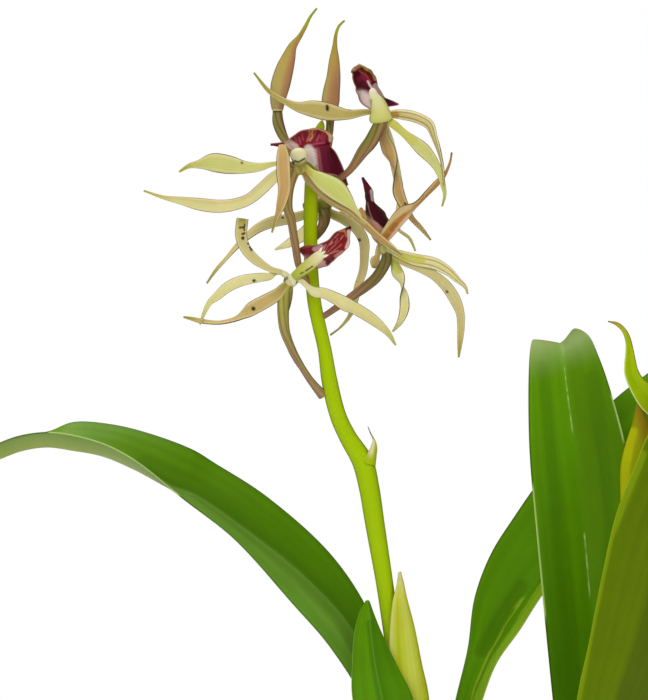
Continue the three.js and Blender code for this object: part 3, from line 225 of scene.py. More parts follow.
def dress(name, skins, material, nodes, flat=False):
    """One object from several skins, in millimetres at its place. It stands for the nodes it replaces."""
    starts = np.cumsum([0] + [len(s["points"]) for s in skins])
    points = np.vstack([s["points"] for s in skins]) * MM
    faces = [f + start for s, start in zip(skins, starts) for f in s["faces"]]
    loops = np.concatenate([f.ravel() for f in faces])
    sizes = np.concatenate([np.full(len(f), f.shape[1]) for f in faces])
    mesh = bpy.data.meshes.new(name)
    mesh.vertices.add(len(points))
    mesh.vertices.foreach_set("co", points.ravel())
    mesh.loops.add(len(loops))
    mesh.loops.foreach_set("vertex_index", loops.astype(np.int32))
    mesh.polygons.add(len(sizes))
    mesh.polygons.foreach_set("loop_start", (np.cumsum(sizes) - sizes).astype(np.int32))
    mesh.update(calc_edges=True)
    layer = mesh.uv_layers.new(name="UVMap")
    layer.data.foreach_set("uv", np.concatenate([uv.reshape(-1) for s in skins for uv in s["uvs"]]))
    tints = np.vstack([s["tints"] for s in skins])
    colours = mesh.color_attributes.new(name="tint", type="FLOAT_COLOR", domain="POINT")
    colours.data.foreach_set("color", tints.ravel())
    mesh.polygons.foreach_set("use_smooth", np.full(len(sizes), not flat))
    mesh.validate()
    mesh.materials.append(material)
    piece = bpy.data.objects.new(name, mesh)
    bpy.context.collection.objects.link(piece)
    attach(piece, "root")
    if nodes:
        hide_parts(*nodes)
    print(name, "has", int((sizes - 2).sum()), "triangles")
    return piece


# %% [markdown]
# A leaf, a petal and the shell of a lip are all thin blades. Three lines hold a blade: two margins and the
# line midway. Between them it is either creased like a folded leaf or curved like a shell. Its section is a
# flattened ring whose thickness dies away at the margins, so the edges look soft and not sawn off.

# %% Blades


def blade(left, middle, right, thickness, crease=0.0, bulge=0.0, around=48, uneven=None):
    """Rings of a blade. Across it v runs from -1 to 1. Creased, a point is the midrib plus |v| of the way to
    its margin; curved, it is the parabola in v through the three lines; the bulge adds a hump on each half.
    The two faces stand off by half the thickness times the square root of the sine round the ring."""
    half = around // 2
    angle = np.linspace(0, np.pi, half + 1)
    v = -np.cos(angle)
    V = v[None, :, None]
    L, M, R = (a[:, None, :] for a in (left, middle, right))
    curved = M + V * (R - L) / 2 + V**2 * ((L + R) / 2 - M)
    creased = M + np.abs(V) * (np.where(V < 0, L, R) - M)
    sheet = crease * creased + (1 - crease) * curved
    normal = unit(np.cross(np.gradient(sheet, v, axis=1), np.gradient(sheet, axis=0)))
    breadth = length(R - L)
    hump = 1 - (2 * np.abs(V) - 1) ** 2
    sheet = sheet + normal * bulge * hump * np.minimum(1, breadth / 16)
    if uneven is not None:
        sheet = sheet + normal * uneven[..., None]
    normal = unit(np.cross(np.gradient(sheet, v, axis=1), np.gradient(sheet, axis=0)))
    off = normal * (np.sqrt(np.sin(angle))[None, :, None] * np.reshape(thickness, (-1, 1, 1)) / 2)
    rings = np.concatenate([(sheet + off), (sheet - off)[:, half - 1:0:-1]], axis=1)
    return rings


def blade_grid(rows, around=48):
    """The two parameters of a blade's rings: u along it from 0 to 1 and v across it from -1 to 1, and the
    across coordinate for its UV, which folds back on the rear face."""
    angle = np.arange(around + 1) * TURN / around
    u, v = np.meshgrid(np.linspace(0, 1, rows), -np.cos(angle[:-1]), indexing="ij")
    return u, v, 0.5 - 0.5 * np.cos(angle)


def ribbon_lines(stations, rows, facing=(0, -1, 0), fold=14, foot=None):
    """The three lines of a narrow ribbon. At each station its normal is the facing direction made square to
    the line and rolled about it; the margins lie half a width to each side, bent back by the fold."""
    stations = [(*s, 0) if len(s) == 4 else s for s in stations]
    place = line([s[:3] for s in stations], rows)
    shape = line([s[3:] for s in stations], rows, even=True)
    along = unit(np.gradient(place, axis=0))
    facing = np.asarray(facing, float)
    normal = unit(facing - along * (along @ facing)[:, None])
    roll = np.radians(shape[:, 1:2])
    normal = normal * np.cos(roll) + np.cross(along, normal) * np.sin(roll)
    across = np.cross(along, normal)
    half = np.maximum(shape[:, :1], 0.35)
    out, back = across * half * np.cos(np.radians(fold)), normal * half * np.sin(np.radians(fold))
    return place - out - back, place, place + out - back


# %% [markdown]
# Stems, stalks, buds and bulbs are rods: rings carried along a line. The ring's radius may change along the
# line and round it, which gives the ribs of a bulb and the grooves of a stalk.

# %% Rods


def rod(stations, rows, around=32, sideways=(0, 1, 0), section=None, closed=(0.0, 0.0)):
    """Rings of a rod through stations of x, y, z and radius. A point is the line plus the radius times the
    section, turned by the angle round it. Over the closed shares at the two ends the radius follows a
    quarter of a circle down to nothing, so the end is round."""
    place = line([s[:3] for s in stations], rows)
    radius = line([(s[3], s[-1] if len(s) > 4 else s[3]) for s in stations], rows, even=True)
    along = unit(np.gradient(place, axis=0))
    across = unit(np.cross(np.asarray(sideways, float), along))
    up = np.cross(along, across)
    s = share_along(place)
    for share, from_end in zip(closed, (s, 1 - s)):
        if share:
            radius = radius * np.sqrt(1 - (1 - np.minimum(1, from_end / share)) ** 2).clip(0.02)[:, None]
    angle = np.arange(around) * TURN / around
    ring = np.ones((rows, around)) if section is None else section(s[:, None], angle[None, :])
    return (place[:, None, :]
            + (radius[:, :1] * ring * np.cos(angle))[..., None] * across[:, None, :]
            + (radius[:, 1:] * ring * np.sin(angle))[..., None] * up[:, None, :])


def share_by_row(rings):
    """Share of the way along the rings for every point, from 0 at the first ring to 1 at the last."""
    rows, around = rings.shape[:2]
    return np.linspace(0, 1, rows)[:, None] * np.ones(around)


def to_the_right(rings):
    """How far each point lies to the right in its ring: x less the ring's mean, over its standard deviation."""
    return (rings[..., 0] - rings[..., 0].mean(1, keepdims=True)) / rings[..., 0].std(1, keepdims=True)


print("blades and rods are ready")

# %% [markdown]
# ## Colours
#
# Colours are written as they look on a screen and turned to linear light by one function. A plant is never
# one flat colour, so each skin carries a tint for every point: it is worked out from where the point is on
# the leaf or petal. The finishes then add what is finer than the mesh, such as veins and pores.

# %% Colours


def linear(hex_colour):
    """Screen colour to linear light: below 0.04045 it is divided by 12.92, above it follows a 2.4 power."""
    screen = np.array([int(hex_colour[i:i + 2], 16) for i in (1, 3, 5)]) / 255
    return np.where(screen <= 0.04045, screen / 12.92, ((screen + 0.055) / 1.055) ** 2.4)


def blend(first, second, share):
    """Colour between two colours, by a share for each point."""
    return first + (second - first) * np.clip(share, 0, 1)[..., None]


def rise(value, start, end):
    """Smooth step from 0 at the start to 1 at the end: 3t squared less 2t cubed."""
    t = np.clip((value - start) / (end - start), 0, 1)
    return t * t * (3 - 2 * t)


def shades(share, *stops):
    """Colour along a scale of (share, hex) stops, by a share for each point."""
    places = [p for p, _ in stops]
    colours = np.array([linear(c) for _, c in stops])
    return np.stack([np.interp(share, places, colours[:, j]) for j in range(3)], -1)


print("leaf green in linear light:", linear("#3E8A0A").round(3))

# %% [markdown]
# What is on one leaf or one bloom alone, such as a dark fleck or a pale streak, is a stroke: a short path at
# its own place, seen from the front. Painting an image would fix its sharpness. A stroke is a distance, so it
# stays as sharp as the mesh.

# %% Strokes


def near(points, path, half, soft=0.9):
    """Share of a stroke at each point: 1 within the half width of the path, seen along Y, falling to 0 over the
    soft part of the half width beyond. The distance to a stretch a-b is that to the nearest a + t(b - a)."""
    place = points[..., [0, 2]]
    path = np.asarray(path, float)
    path = np.vstack([path, path[-1:] + 0.01]) if len(path) == 1 else path
    least = np.full(place.shape[:-1], np.inf)
    for a, b in zip(path[:-1], path[1:]):
        t = np.clip(((place - a) @ (b - a)) / ((b - a) @ (b - a)), 0, 1)
        least = np.minimum(least, length(place - a - t[..., None] * (b - a))[..., 0])
    return 1 - rise(least, half, half * (1 + soft))


def paint(tint, points, strokes):
    """Each stroke is colour, share, half width in millimetres, then the x and z of its path."""
    for colour, share, half, path in strokes:
        tint = blend(tint, linear(colour), share * near(points, path, half))
    return tint

# %% [markdown]
# ## Finishes
#
# A living leaf is water-filled cells under a thin wax. Light passes a little way in, and the wax gives a soft
# gloss. The veins of an orchid leaf all run lengthwise. Drawing them as geometry would take thousands of
# faces, so a sine of the across coordinate draws them in the finish and lifts them as bump.

# %% Living surfaces


def finish(name):
    """New material with its node tree emptied but for the output."""
    material = bpy.data.materials.new(name)
    material.use_nodes = True
    tree = material.node_tree
    tree.nodes.clear()
    return material, tree, node(tree, "ShaderNodeOutputMaterial")


RIB_WIDTH = 0.012             # share of the leaf's breadth


def living(name, veins=0, vein_share=0.1, vein_lift=0.1, blotch=0.12, blotch_mm=9.0, grain_mm=0.5,
           grain_lift=0.05, roughness=0.42, specular=0.4, depth_mm=0.6, glow=0.12, vein_dark=0.8, rib=None):
    """Waxy plant skin. The tint is made uneven by large blotches, darkened in the valleys between veins, and
    lifted by veins and by fine grain. A midrib is a thin line half way across, as strong as the tint's alpha."""
    material, tree, output = finish(name)
    tint, shown = (node(tree, "ShaderNodeAttribute", attribute_name="tint").outputs[k] for k in ("Color", "Alpha"))
    place = node(tree, "ShaderNodeTexCoord").outputs["Object"]
    patches = node(tree, "ShaderNodeTexNoise", [(place, "Vector")], Scale=1 / (blotch_mm * MM), Detail=3.0).outputs[0]
    value = node(tree, "ShaderNodeMapRange", [(patches, "Value")], To_Min=1 - blotch, To_Max=1 + blotch).outputs[0]
    colour = node(tree, "ShaderNodeHueSaturation", [(tint, "Color"), (value, "Value")]).outputs[0]
    grain = node(tree, "ShaderNodeTexNoise", [(place, "Vector")], Scale=1 / (grain_mm * MM), Detail=2.0).outputs[0]
    bump = node(tree, "ShaderNodeBump", [(grain, "Height")], Strength=grain_lift, Distance=0.1 * MM).outputs[0]
    if veins:
        uv = node(tree, "ShaderNodeUVMap").outputs[0]
        across = node(tree, "ShaderNodeSeparateXYZ", [(uv, "Vector")]).outputs[0]
        angle = node(tree, "ShaderNodeMath", [(across, 0)], operation="MULTIPLY").outputs[0]
        angle.node.inputs[1].default_value = TURN * veins
        wave = node(tree, "ShaderNodeMath", [(angle, 0)], operation="SINE").outputs[0]
        height = node(tree, "ShaderNodeMapRange", [(wave, "Value")], From_Min=-1.0, From_Max=1.0).outputs[0]
        darker = node(tree, "ShaderNodeHueSaturation", [(colour, "Color")], Value=vein_dark).outputs[0]
        valley = node(tree, "ShaderNodeMapRange", [(height, "Value")], From_Min=0.35, From_Max=0.0,
                      To_Max=vein_share).outputs[0]
        colour = node(tree, "ShaderNodeMix", [(valley, 0), (colour, 6), (darker, 7)], data_type="RGBA").outputs[2]
        bump = node(tree, "ShaderNodeBump", [(height, "Height"), (bump, "Normal")], Strength=vein_lift,
                    Distance=0.15 * MM).outputs[0]
    if rib:
        beside = node(tree, "ShaderNodeMath", [(across, 0)], operation="SUBTRACT").outputs[0]
        beside.node.inputs[1].default_value = 0.5
        beside = node(tree, "ShaderNodeMath", [(beside, 0)], operation="ABSOLUTE").outputs[0]
        line_share = node(tree, "ShaderNodeMapRange", [(beside, "Value"), (shown, "To Min")], From_Min=RIB_WIDTH / 2,
                          From_Max=RIB_WIDTH, To_Max=0.0).outputs[0]
        colour = node(tree, "ShaderNodeMix", [(line_share, 0), (colour, 6)], data_type="RGBA").outputs[2]
        colour.node.inputs[7].default_value = (*linear(rib), 1)
    shader = node(tree, "ShaderNodeBsdfPrincipled", [(colour, "Base Color"), (bump, "Normal")], IOR=1.42,
                  Roughness=roughness, Specular_IOR_Level=specular, Subsurface_Weight=glow,
                  Subsurface_Scale=depth_mm * MM)
    tree.links.new(shader.outputs[0], output.inputs[0])
    return material


print("finishes are ready")


# %% [markdown]
# ## Leaves
#
# Each leaf stands on a bulb and is folded along its midrib at the foot, like a half-open book. It flattens
# as it goes up. Its three lines are nearly those of the solid model, with finer rows between, and its foot
# goes on down to clasp the bulb. The bulbs' stations come first, because the leaves need them.

# %% Leaves
CLEARANCE = 0.3
BULB_TOP = 165
YOUNG_BULB_TOP = 150
BULBS = {
  "pseudobulb_1": [[-16, 4, 95, 6, 6], [-18, 3.5, 106, 14, 10], [-20.5, 2.5, 120, 16.5, 11.5],
    [-23, 1, 138, 14, 11], [-24.5, 0, 153, 10.5, 10.5], [-25, 0, BULB_TOP, 9, 10.5]],
  "pseudobulb_2": [[24, -3, 95, 6, 6], [26, -3, 106, 13.5, 10], [29, -2.5, 120, 16, 11.5],
    [32.5, -2, 138, 13.5, 10], [35, -1.5, 153, 9, 8.5], [36.5, -1.5, BULB_TOP, 7.5, 8]],
  "pseudobulb_3": [[-5, 36, 95, 6, 6], [-6, 35, 106, 12.5, 9], [-7.5, 34, 120, 14.5, 10.5],
    [-9.5, 33, 138, 12, 9], [-11.5, 32, 153, 8, 7], [-12.5, 31.5, BULB_TOP, 6, 5.5]],
  "pseudobulb_4": [[41, 15, 95, 5, 5], [42.5, 14.5, 104, 10.5, 7.5], [45, 14, 114, 12, 9],
    [49, 13, 128, 10, 8], [53, 12.5, 141, 8, 7], [56, 12.5, YOUNG_BULB_TOP, 7, 6]],
}
LEAF_FOOT = BULB_TOP + 2 * CLEARANCE
LEAVES = {
  # Long leaf that arches left: near margin, midrib, far margin
  "leaf_1": [
    [[-28.8, -3.6, LEAF_FOOT], [-33.5, -3.5, 180], [-39.3, -2, 202], [-52.2, 2, 223], [-66, 5, 238.8],
      [-86.3, 6, 261.4], [-102.4, 6, 274.3], [-108.2, 5.5, 279], [-120, 5, 288.1], [-131.2, 5, 294.2],
      [-143.5, 5, 297.9], [-151.5, 4, 298.8], [-160.6, 4, 297.6], [-168, 4, 295], [-185, 5, 286.5],
      [-204.5, 7, 271], [-225.5, 11.2, 247.6]],
    [[-30.2, 1, LEAF_FOOT], [-32, 5, 182], [-37, 11, 205], [-44.2, 15, 227], [-60.2, 19, 245.7],
      [-83.7, 21, 264.5], [-100.4, 21, 275.7], [-108, 20.5, 278.5], [-121.1, 20, 285.6],
      [-132.4, 19, 290.4], [-143.6, 18, 292.5], [-152, 17, 293.6], [-160.6, 16, 292.5],
      [-168, 15, 289.8], [-186, 14, 281.5], [-206, 13, 267], [-226, 12, 247]],
    [[-28.6, 5, LEAF_FOOT], [-27, 10, 183], [-30.5, 19, 210], [-38.3, 24, 234], [-51.9, 28, 255],
      [-74.9, 30, 275.8], [-93.5, 31, 287.7], [-100.8, 29, 292.2], [-115.3, 30, 297.6],
      [-129.5, 30, 301.1], [-143.2, 29, 302], [-151.2, 28.5, 299], [-160.6, 27, 297], [-168, 26, 294.5],
      [-185, 23, 286], [-204.5, 19.5, 271], [-225.5, 12.8, 247.6]],
  ],
  # Short young leaf in front of the foot of the spike, its keel towards the front
  "leaf_2": [
    [[-29, -6.8, LEAF_FOOT], [-35, -7.5, 180], [-41, -8, 193], [-44.6, -8, 206], [-44.7, -8, 218],
      [-43.9, -8.5, 229], [-42, -9, 236.5], [-39.9, -9.6, 239.8]],
    [[-25, -9, LEAF_FOOT], [-28, -11.5, 180], [-31.5, -13, 193], [-34.4, -13.5, 206], [-36.8, -13, 218],
      [-38.2, -12, 229], [-39, -10.5, 237], [-39.4, -10, 240.2]],
    [[-21, -6.8, LEAF_FOOT], [-21, -7.5, 180], [-22, -8, 193], [-23.7, -8, 206], [-29, -8.5, 217],
      [-33.8, -9, 227], [-37.5, -9.5, 236], [-38.9, -9.8, 239.8]],
  ],
  # Broad upright leaf that bends away at its crest
  "leaf_3": [
    [[32, 0.5, LEAF_FOOT], [27.5, 1, 185], [25.5, 2, 205], [22.9, 4, 232], [20, 6, 262], [17.6, 8, 290],
      [17.2, 10, 310], [17.7, 13, 325], [18.5, 19, 330.3], [20, 33, 330], [21, 58, 319], [23, 84, 298],
      [29, 106, 272.5]],
    [[36, 4, LEAF_FOOT], [38, 7, 185], [40, 9, 205], [39.3, 11, 232], [36.9, 12, 262], [33.8, 13, 290],
      [31, 15, 312], [29.5, 20, 325.5], [29, 27, 329.5], [28.5, 38, 326.5], [28.5, 60, 315], [29, 86, 295],
      [29.8, 107, 271.5]],
    [[40, 0.5, LEAF_FOOT], [46, 2, 185], [51.5, 4, 205], [54, 6, 232], [54.5, 8, 262], [52, 10, 290],
      [46.2, 12, 313], [42, 16.5, 325.5], [38.7, 21.5, 332.6], [33.9, 31, 335], [34, 60, 321], [35, 85, 298],
      [30.6, 106, 272.5]],
  ],
  # Leaf at the back that leans right: upper margin, midrib, near lower margin
  "leaf_4": [
    [[-16, 30, LEAF_FOOT], [-12, 34, 186], [-7.6, 37, 205], [-3.6, 38.5, 221.8], [-1.2, 39, 239.7],
      [4.5, 40, 255], [13.3, 40, 269], [22.5, 40, 282], [35, 40, 296], [47.3, 40, 309], [58.8, 40, 318.2],
      [72, 39, 327], [90, 37, 333], [113, 32, 331]],
    [[-12.5, 33, LEAF_FOOT], [-7.5, 33, 184], [-2.4, 33, 204], [4.1, 33, 220], [11, 33, 232.7],
      [21, 33, 245], [30, 33, 257], [39, 33, 270], [48, 32, 284], [57, 32, 296], [67, 31, 306],
      [79, 31, 316], [95, 31, 324.5], [113.5, 31, 330]],
    [[-9, 30, LEAF_FOOT], [-4, 27, 183], [1.5, 24, 205], [6.2, 22, 217.2], [14.4, 21, 228.8],
      [22.5, 20, 241.5], [33, 19, 254], [43, 18, 267], [51, 18, 282], [59.5, 17, 293], [69, 18, 302],
      [80, 20, 312], [95.5, 23, 321], [113, 30, 330]],
  ],
  # Large leaf in the right foreground that leans right, its keel towards the front
  "leaf_5": [
    [[33, -4.5, LEAF_FOOT], [32.5, -8, 185], [33.5, -11, 205], [37.9, -13, 226.4], [42.2, -14, 248.6],
      [47, -15, 270], [53, -16, 286], [58.8, -17, 299.5], [68, -19, 314], [82, -22, 329], [98, -25, 337],
      [115, -30, 337], [131.5, -34.2, 333]],
    [[37, -7, LEAF_FOOT], [41, -14, 185], [46, -18, 205], [52, -20, 224], [57.5, -21, 244],
      [63.5, -22, 263], [71, -23, 279], [77, -24, 292], [87, -26, 305], [98, -28, 318], [110, -30, 327],
      [121, -32, 332], [132, -34.5, 332.4]],
    [[41, -4.5, LEAF_FOOT], [50, -10, 185], [58, -14, 205], [66, -17, 222], [73, -19, 240], [80, -21, 256],
      [88, -23, 271], [95, -25, 283], [104, -27, 296], [113, -29, 308], [121, -31, 318], [126, -33, 327],
      [131.8, -34.8, 331.8]],
  ],
}
LEAF_ROWS = 214
LEAF_AROUND = 64
CLASP_ROWS = 26
STANDS_ON = {"leaf_1": "pseudobulb_1", "leaf_2": "pseudobulb_1", "leaf_3": "pseudobulb_2",
             "leaf_4": "pseudobulb_3", "leaf_5": "pseudobulb_2"}


def clasp(lines, bulb, drop=15, flare=14, spread=62):
    """A leaf's three lines, longer by a foot that clasps the bulb. The lines first run straight down. Then each
    row is drawn out to the bulb's skin, its margins turned to either side by the spread: wholly below the
    bulb's top, and less and less up to the flare above it. The lowest rows sink into the skin."""
    x, y, z, wide, deep = np.array(BULBS[bulb]).T
    down = np.linspace(-drop, 0, CLASP_ROWS, endpoint=False)[:, None] * [0, 0, 1]
    left, middle, right = lines = [np.vstack([points[0] + down, points]) for points in lines]
    reach, breadth = middle[0] - (x[-1], y[-1], 0), left[0] - right[0]
    side = np.sign(reach[0] * breadth[1] - reach[1] * breadth[0])
    heading = np.arctan2(reach[1] / deep[-1], reach[0] / wide[-1])
    height = middle[:, 2]
    held = 1 - rise(height, z[-1] - 5, z[-1] + flare)
    sunk = 1 - rise(height, z[-1] - drop, z[-1] - drop / 3)
    clasped = []
    for points, turn, gap in zip(lines, (side, 0, -side), (0.7, 2.2, 0.7)):
        angle = heading + turn * np.radians(spread)
        off = gap - (gap + 0.9) * sunk
        skin_x = np.interp(height, z, x) + (np.interp(height, z, wide) + off) * np.cos(angle)
        skin_y = np.interp(height, z, y) + (np.interp(height, z, deep) + off) * np.sin(angle)
        on_skin = np.stack([skin_x, skin_y, points[:, 2]], -1)
        clasped.append(points + held[:, None] * (on_skin - points))
    return clasped


def clasped_grid(rows, around):
    """The blade's parameters with the clasping rows below its foot, where u stays 0."""
    u, v, across = blade_grid(rows + CLASP_ROWS, around)
    at = np.maximum(0, np.arange(rows + CLASP_ROWS) - CLASP_ROWS) / (rows - 1)
    return at[:, None] * np.ones_like(v), v, across


leaf_skin = living("leaf_cuticle", veins=34, vein_share=0.30, vein_lift=0.10, roughness=0.40, specular=0.17,
                   blotch=0.10, blotch_mm=14, rib="#C6DC94")

# %% [markdown]
# No two leaves here have the same green. Each half of a leaf has its own colours, and they carry painted light
# and shade: the glow of light through the half that faces away, and how light falls on each half. The under side
# is paler than the top, and on the crest of leaf 3 a pale painted sheen stands for the gloss of its wax. Each look
# gives the colours of the two halves from foot to tip, those of the under side from keel to margin, and the
# stretches of margin with a painted highlight, where a margin catches the light.

# %% Leaf colours
LEAF_LOOKS = {
    "leaf_1": {"left": ((0, "#5E8820"), (0.3, "#66902C"), (0.5, "#709438"), (1, "#94AE60")),
               "right": ((0, "#3A6400"), (0.1, "#3E6A00"), (0.3, "#4A7600"), (0.45, "#4E7A04"), (0.6, "#5C860A"),
                         (0.68, "#648C00"), (1, "#7E9C30")),
               "under": ("#A2B24C", "#729618"), "margin": "#2C4A04", "lit": [("#B8D47C", -1, 0.40, 0.69)], "rib": 0.06},
    "leaf_2": {"left": ((0, "#508400"), (1, "#588A00")), "right": ((0, "#508400"), (1, "#487A00")),
               "margin": "#3A6404", "lit": [("#B4D460", -1, 0, 1)], "rib": 0.08},
    "leaf_3": {"left": ((0, "#3E6600"), (0.2, "#427000"), (0.45, "#588C00"), (0.7, "#689C00"), (1, "#5E8818")),
               "right": ((0, "#446E00"), (0.2, "#527E00"), (0.45, "#527E00"), (0.7, "#588600"), (1, "#5A8414")),
               "margin": "#2A4404", "lit": [("#B4CC70", -1, 0.25, 0.39), ("#C4DC8C", 1, 0.43, 0.5)], "rib": 0},
    "leaf_4": {"left": ((0, "#528400"), (0.3, "#4E7E00"), (0.5, "#548600"), (0.7, "#588A00"), (1, "#588A04")),
               "right": ((0, "#749A14"), (1, "#6E9414")), "margin": "#2E4A04", "lit": [("#98B434", 1, 0, 0.45)],
               "rib": 0},
    "leaf_5": {"left": ((0, "#607800"), (0.5, "#587000"), (1, "#5A7600")),
               "right": ((0, "#506200"), (0.5, "#4E6400"), (1, "#547000")),
               "margin": "#4A5E00", "lit": [("#94AC14", -1, 0, 1)], "rib": 0},
}
BULB_GREEN = "#6E9828"
UNDER_SIDE = ("#7E9E50", "#5E8428")
PAINTED_CREST_SHEEN = "#A4AE78"
LEAF_STROKES = {
    "leaf_1": [("#5A8A20", 0.5, 1.7, [(-94, 266.5), (-81, 256), (-69, 246), (-57.5, 231.5), (-45, 214), (-38, 200)]),
               ("#345A04", 0.3, 2.4, [(-118, 287), (-100, 279), (-84, 267), (-62, 249), (-47, 233), (-38, 213)])],
    "leaf_2": [("#3C6C00", 0.6, 1.0, [(-38.6, 232), (-36.8, 218), (-34, 204), (-31, 190)])],
    "leaf_3": [("#336000", 0.3, 1.4, [(22, 322), (24, 300), (27, 262), (30, 222), (31, 200)]),
               ("#5E9600", 0.3, 1.3, [(29, 310), (33.6, 258), (37, 228), (38, 205)]),
               ("#336000", 0.3, 1.6, [(40, 318), (44, 290), (46, 262), (46, 240)])],
    "leaf_4": [("#98AE24", 0.6, 0.16, [(17.4, 241.6), (16.2, 240), (9.7, 230.5), (3.4, 219), (-1.4, 208), (-4, 198)]),
               ("#3A6400", 0.5, 1.6, [(15, 244), (7.4, 232.5), (1, 221)])],
    "leaf_5": [("#86A00C", 0.6, 1.2, [(56, 291), (44.4, 262), (37.4, 228), (33.4, 206)])],
}


def broken(z, *stretches):
    """1 on the stretches of height where a rib shows and 0 between, with short gaps inside them."""
    shown = sum(rise(z, low, low + 1) * (1 - rise(z, high - 1, high)) for low, high in stretches)
    return shown * (0.6 + 0.6 * np.sin(3.1 * z) * np.sin(1.3 * z))


def leaf_tint(u, v, rings, split, strokes, seed, left, right, margin, lit, under=UNDER_SIDE):
    """Each half's own colours from foot to tip on either side of the split, painted light and shade included, made
    uneven by lengthwise streaks. The under side goes from its keel colour to its margin colour. A thin line follows
    both margins, with a painted highlight over some stretches. The strokes come on the upper side, and the foot
    takes the green of the bulb."""
    # painted light and shade: each half's colours hold how light falls on that half as well as the leaf's own green
    colour = blend(shades(u, *left), shades(u, *right), rise(v - split, -0.02, 0.04))
    colour = colour * (1 + 0.16 * ripple(0.7 * u, v, seed, waves=7, reach=(1.5, 5)))[..., None]
    below = np.arange(v.shape[1]) > v.shape[1] // 2
    colour = blend(colour, shades(np.abs(v), (0, under[0]), (1, under[1])), 0.75 * below * np.ones_like(v))
    colour = blend(colour, linear(margin), 0.8 * rise(np.abs(v), 0.965, 0.99))
    # painted highlight: a pale line along one margin over the stretches where it catches the light
    for shade, side, start, end in lit:
        shown = rise(u, start, start + 0.01) * (1 - rise(u, end - 0.01, end))
        colour = blend(colour, linear(shade), 0.8 * shown * rise(side * v, 0.965, 0.985))
    colour = np.where(below[:, None], colour, paint(colour, rings, strokes))
    return blend(colour, linear(BULB_GREEN), 1 - rise(rings[..., 2], BULB_TOP - 15, BULB_TOP + 5))


for number, (name, lines) in enumerate(LEAVES.items()):
    lines = clasp([line(stations, LEAF_ROWS) for stations in lines], STANDS_ON[name])
    u, v, across = clasped_grid(LEAF_ROWS, LEAF_AROUND)
    half = LEAF_AROUND // 2 + 1
    waves = 0.35 * ripple(u[:, :half], v[:, :half], seed=number, reach=(4, 1)) * np.sin(np.pi * u[:, :half])
    rings = blade(*lines, thickness=0.95, crease=0.75, bulge=0.5, around=LEAF_AROUND, uneven=waves)
    look = dict(LEAF_LOOKS[name])
    rib = look.pop("rib") * np.ones_like(u)
    split = 0
    if name == "leaf_4":          # the back leaf's midrib is seen nearer its lower margin
        split = np.interp(u, (0.15, 0.29, 0.36, 0.42), (0.42, 0.62, 0.45, 0.2))
    tint = leaf_tint(u, v, rings, split, LEAF_STROKES[name], number, **look)
    if name == "leaf_3":
        # painted sheen: the crest of leaf 3 turns a pale grey where its waxy gloss catches the light
        tint = blend(tint, linear(PAINTED_CREST_SHEEN), 0.75 * rise(rings[..., 2] - 4 * v, 318, 338))
        rib = 0.45 * broken(rings[..., 2], (297, 322), (241, 263))
    dress(name, [skin(rings, tint, across, rib=rib)], leaf_skin, [name])

# %% [markdown]
# ## Young growth
#
# At the right a new shoot opens: a folded yellow-green sheath, and the hooked leaf that unrolls from it.

# %% Young growth
YOUNG_FOOT = YOUNG_BULB_TOP + 2 * CLEARANCE
YOUNG_SHEATH = [
  [[51.5, 10.5, YOUNG_FOOT], [51, 5, 185], [50, -1, 220], [49.5, -3, 250], [49, -3.5, 277],
    [49, -3.5, 286], [50.4, -3.5, 293.2], [53, -3, 301], [54.9, -2.5, 308.4]],
  [[54, 9, YOUNG_FOOT], [56.5, 1, 185], [57.5, -5, 220], [57.5, -7, 250], [57.5, -7, 277],
    [57.5, -7, 286], [58, -6.5, 293], [57, -5, 301], [55.6, -3, 308.8]],
  [[56.5, 10.5, YOUNG_FOOT], [62, 5, 185], [65, 0, 220], [66, -2, 250], [66, -2, 277],
    [65, -2, 286], [62.5, -2, 293], [59.5, -2, 301], [56.2, -2.6, 308.5]],
]
YOUNG_LEAF = [
  [[57, 13, YOUNG_FOOT], [63, 9, 190], [67, 5, 230], [68, 2, 262], [66.5, -3, 285], [60.5, -6.5, 302.5],
    [55.8, -8, 307.6], [52.4, -8, 313.5], [50.4, -7.4, 319], [50.3, -7, 322.5], [50.7, -6.4, 326.5],
    [50.8, -6, 330], [49.6, -5.2, 333.8], [47.1, -4.6, 336.3], [44.8, -4, 337.3]],
  [[59, 15, YOUNG_FOOT], [67, 11, 190], [71, 7, 230], [72.5, 4, 262], [70.5, -1, 285], [64, -4.5, 305],
    [58.8, -6, 311], [54.3, -5.6, 316], [53.1, -5.5, 319.2], [52.4, -5.4, 322.5], [52.2, -5.2, 327],
    [51.7, -5, 331.2], [50.2, -4.8, 334.5], [47.6, -4.4, 336.7], [44.7, -4, 337.5]],
  [[61, 13, YOUNG_FOOT], [71, 9, 190], [75, 5, 230], [76.5, 2, 262], [74.5, -3, 285], [67, -6, 307.5],
    [61, -7, 314.2], [56.6, -7, 317.9], [54.9, -6.7, 321], [54.2, -6.4, 324], [53.4, -6, 327.8],
    [52.3, -5.6, 331.9], [50.7, -5, 335], [48.2, -4.6, 337.1], [44.8, -4, 337.7]],
]
SHEATH_ROWS = 160
SHEATH_AROUND = 48
young_skin = living("young_cuticle", veins=16, vein_share=0.25, vein_lift=0.08, roughness=0.45, specular=0.2)
u, v, across = clasped_grid(SHEATH_ROWS, SHEATH_AROUND)
lines = clasp([line(stations, SHEATH_ROWS) for stations in YOUNG_SHEATH], "pseudobulb_4")
rings = blade(*lines, thickness=0.9, crease=0.5, bulge=0.8, around=SHEATH_AROUND)
tint = shades(u, (0, "#748C04"), (0.45, "#8C9A00"), (0.75, "#8A9000"), (1, "#8C800C"))
tint = paint(tint, rings, [("#8A6A10", 0.6, 1.2, [(56, 307.5), (57.6, 300), (58.2, 294)]),
                           ("#B4B800", 0.6, 1.1, [(53.4, 299), (50.8, 288), (50.4, 276)])])
tint = blend(tint, linear("#5A5A08"), 0.7 * rise(np.abs(v), 0.96, 0.99))
dress("young_sheath", [skin(rings, tint, across)], young_skin, ["young_sheath"])

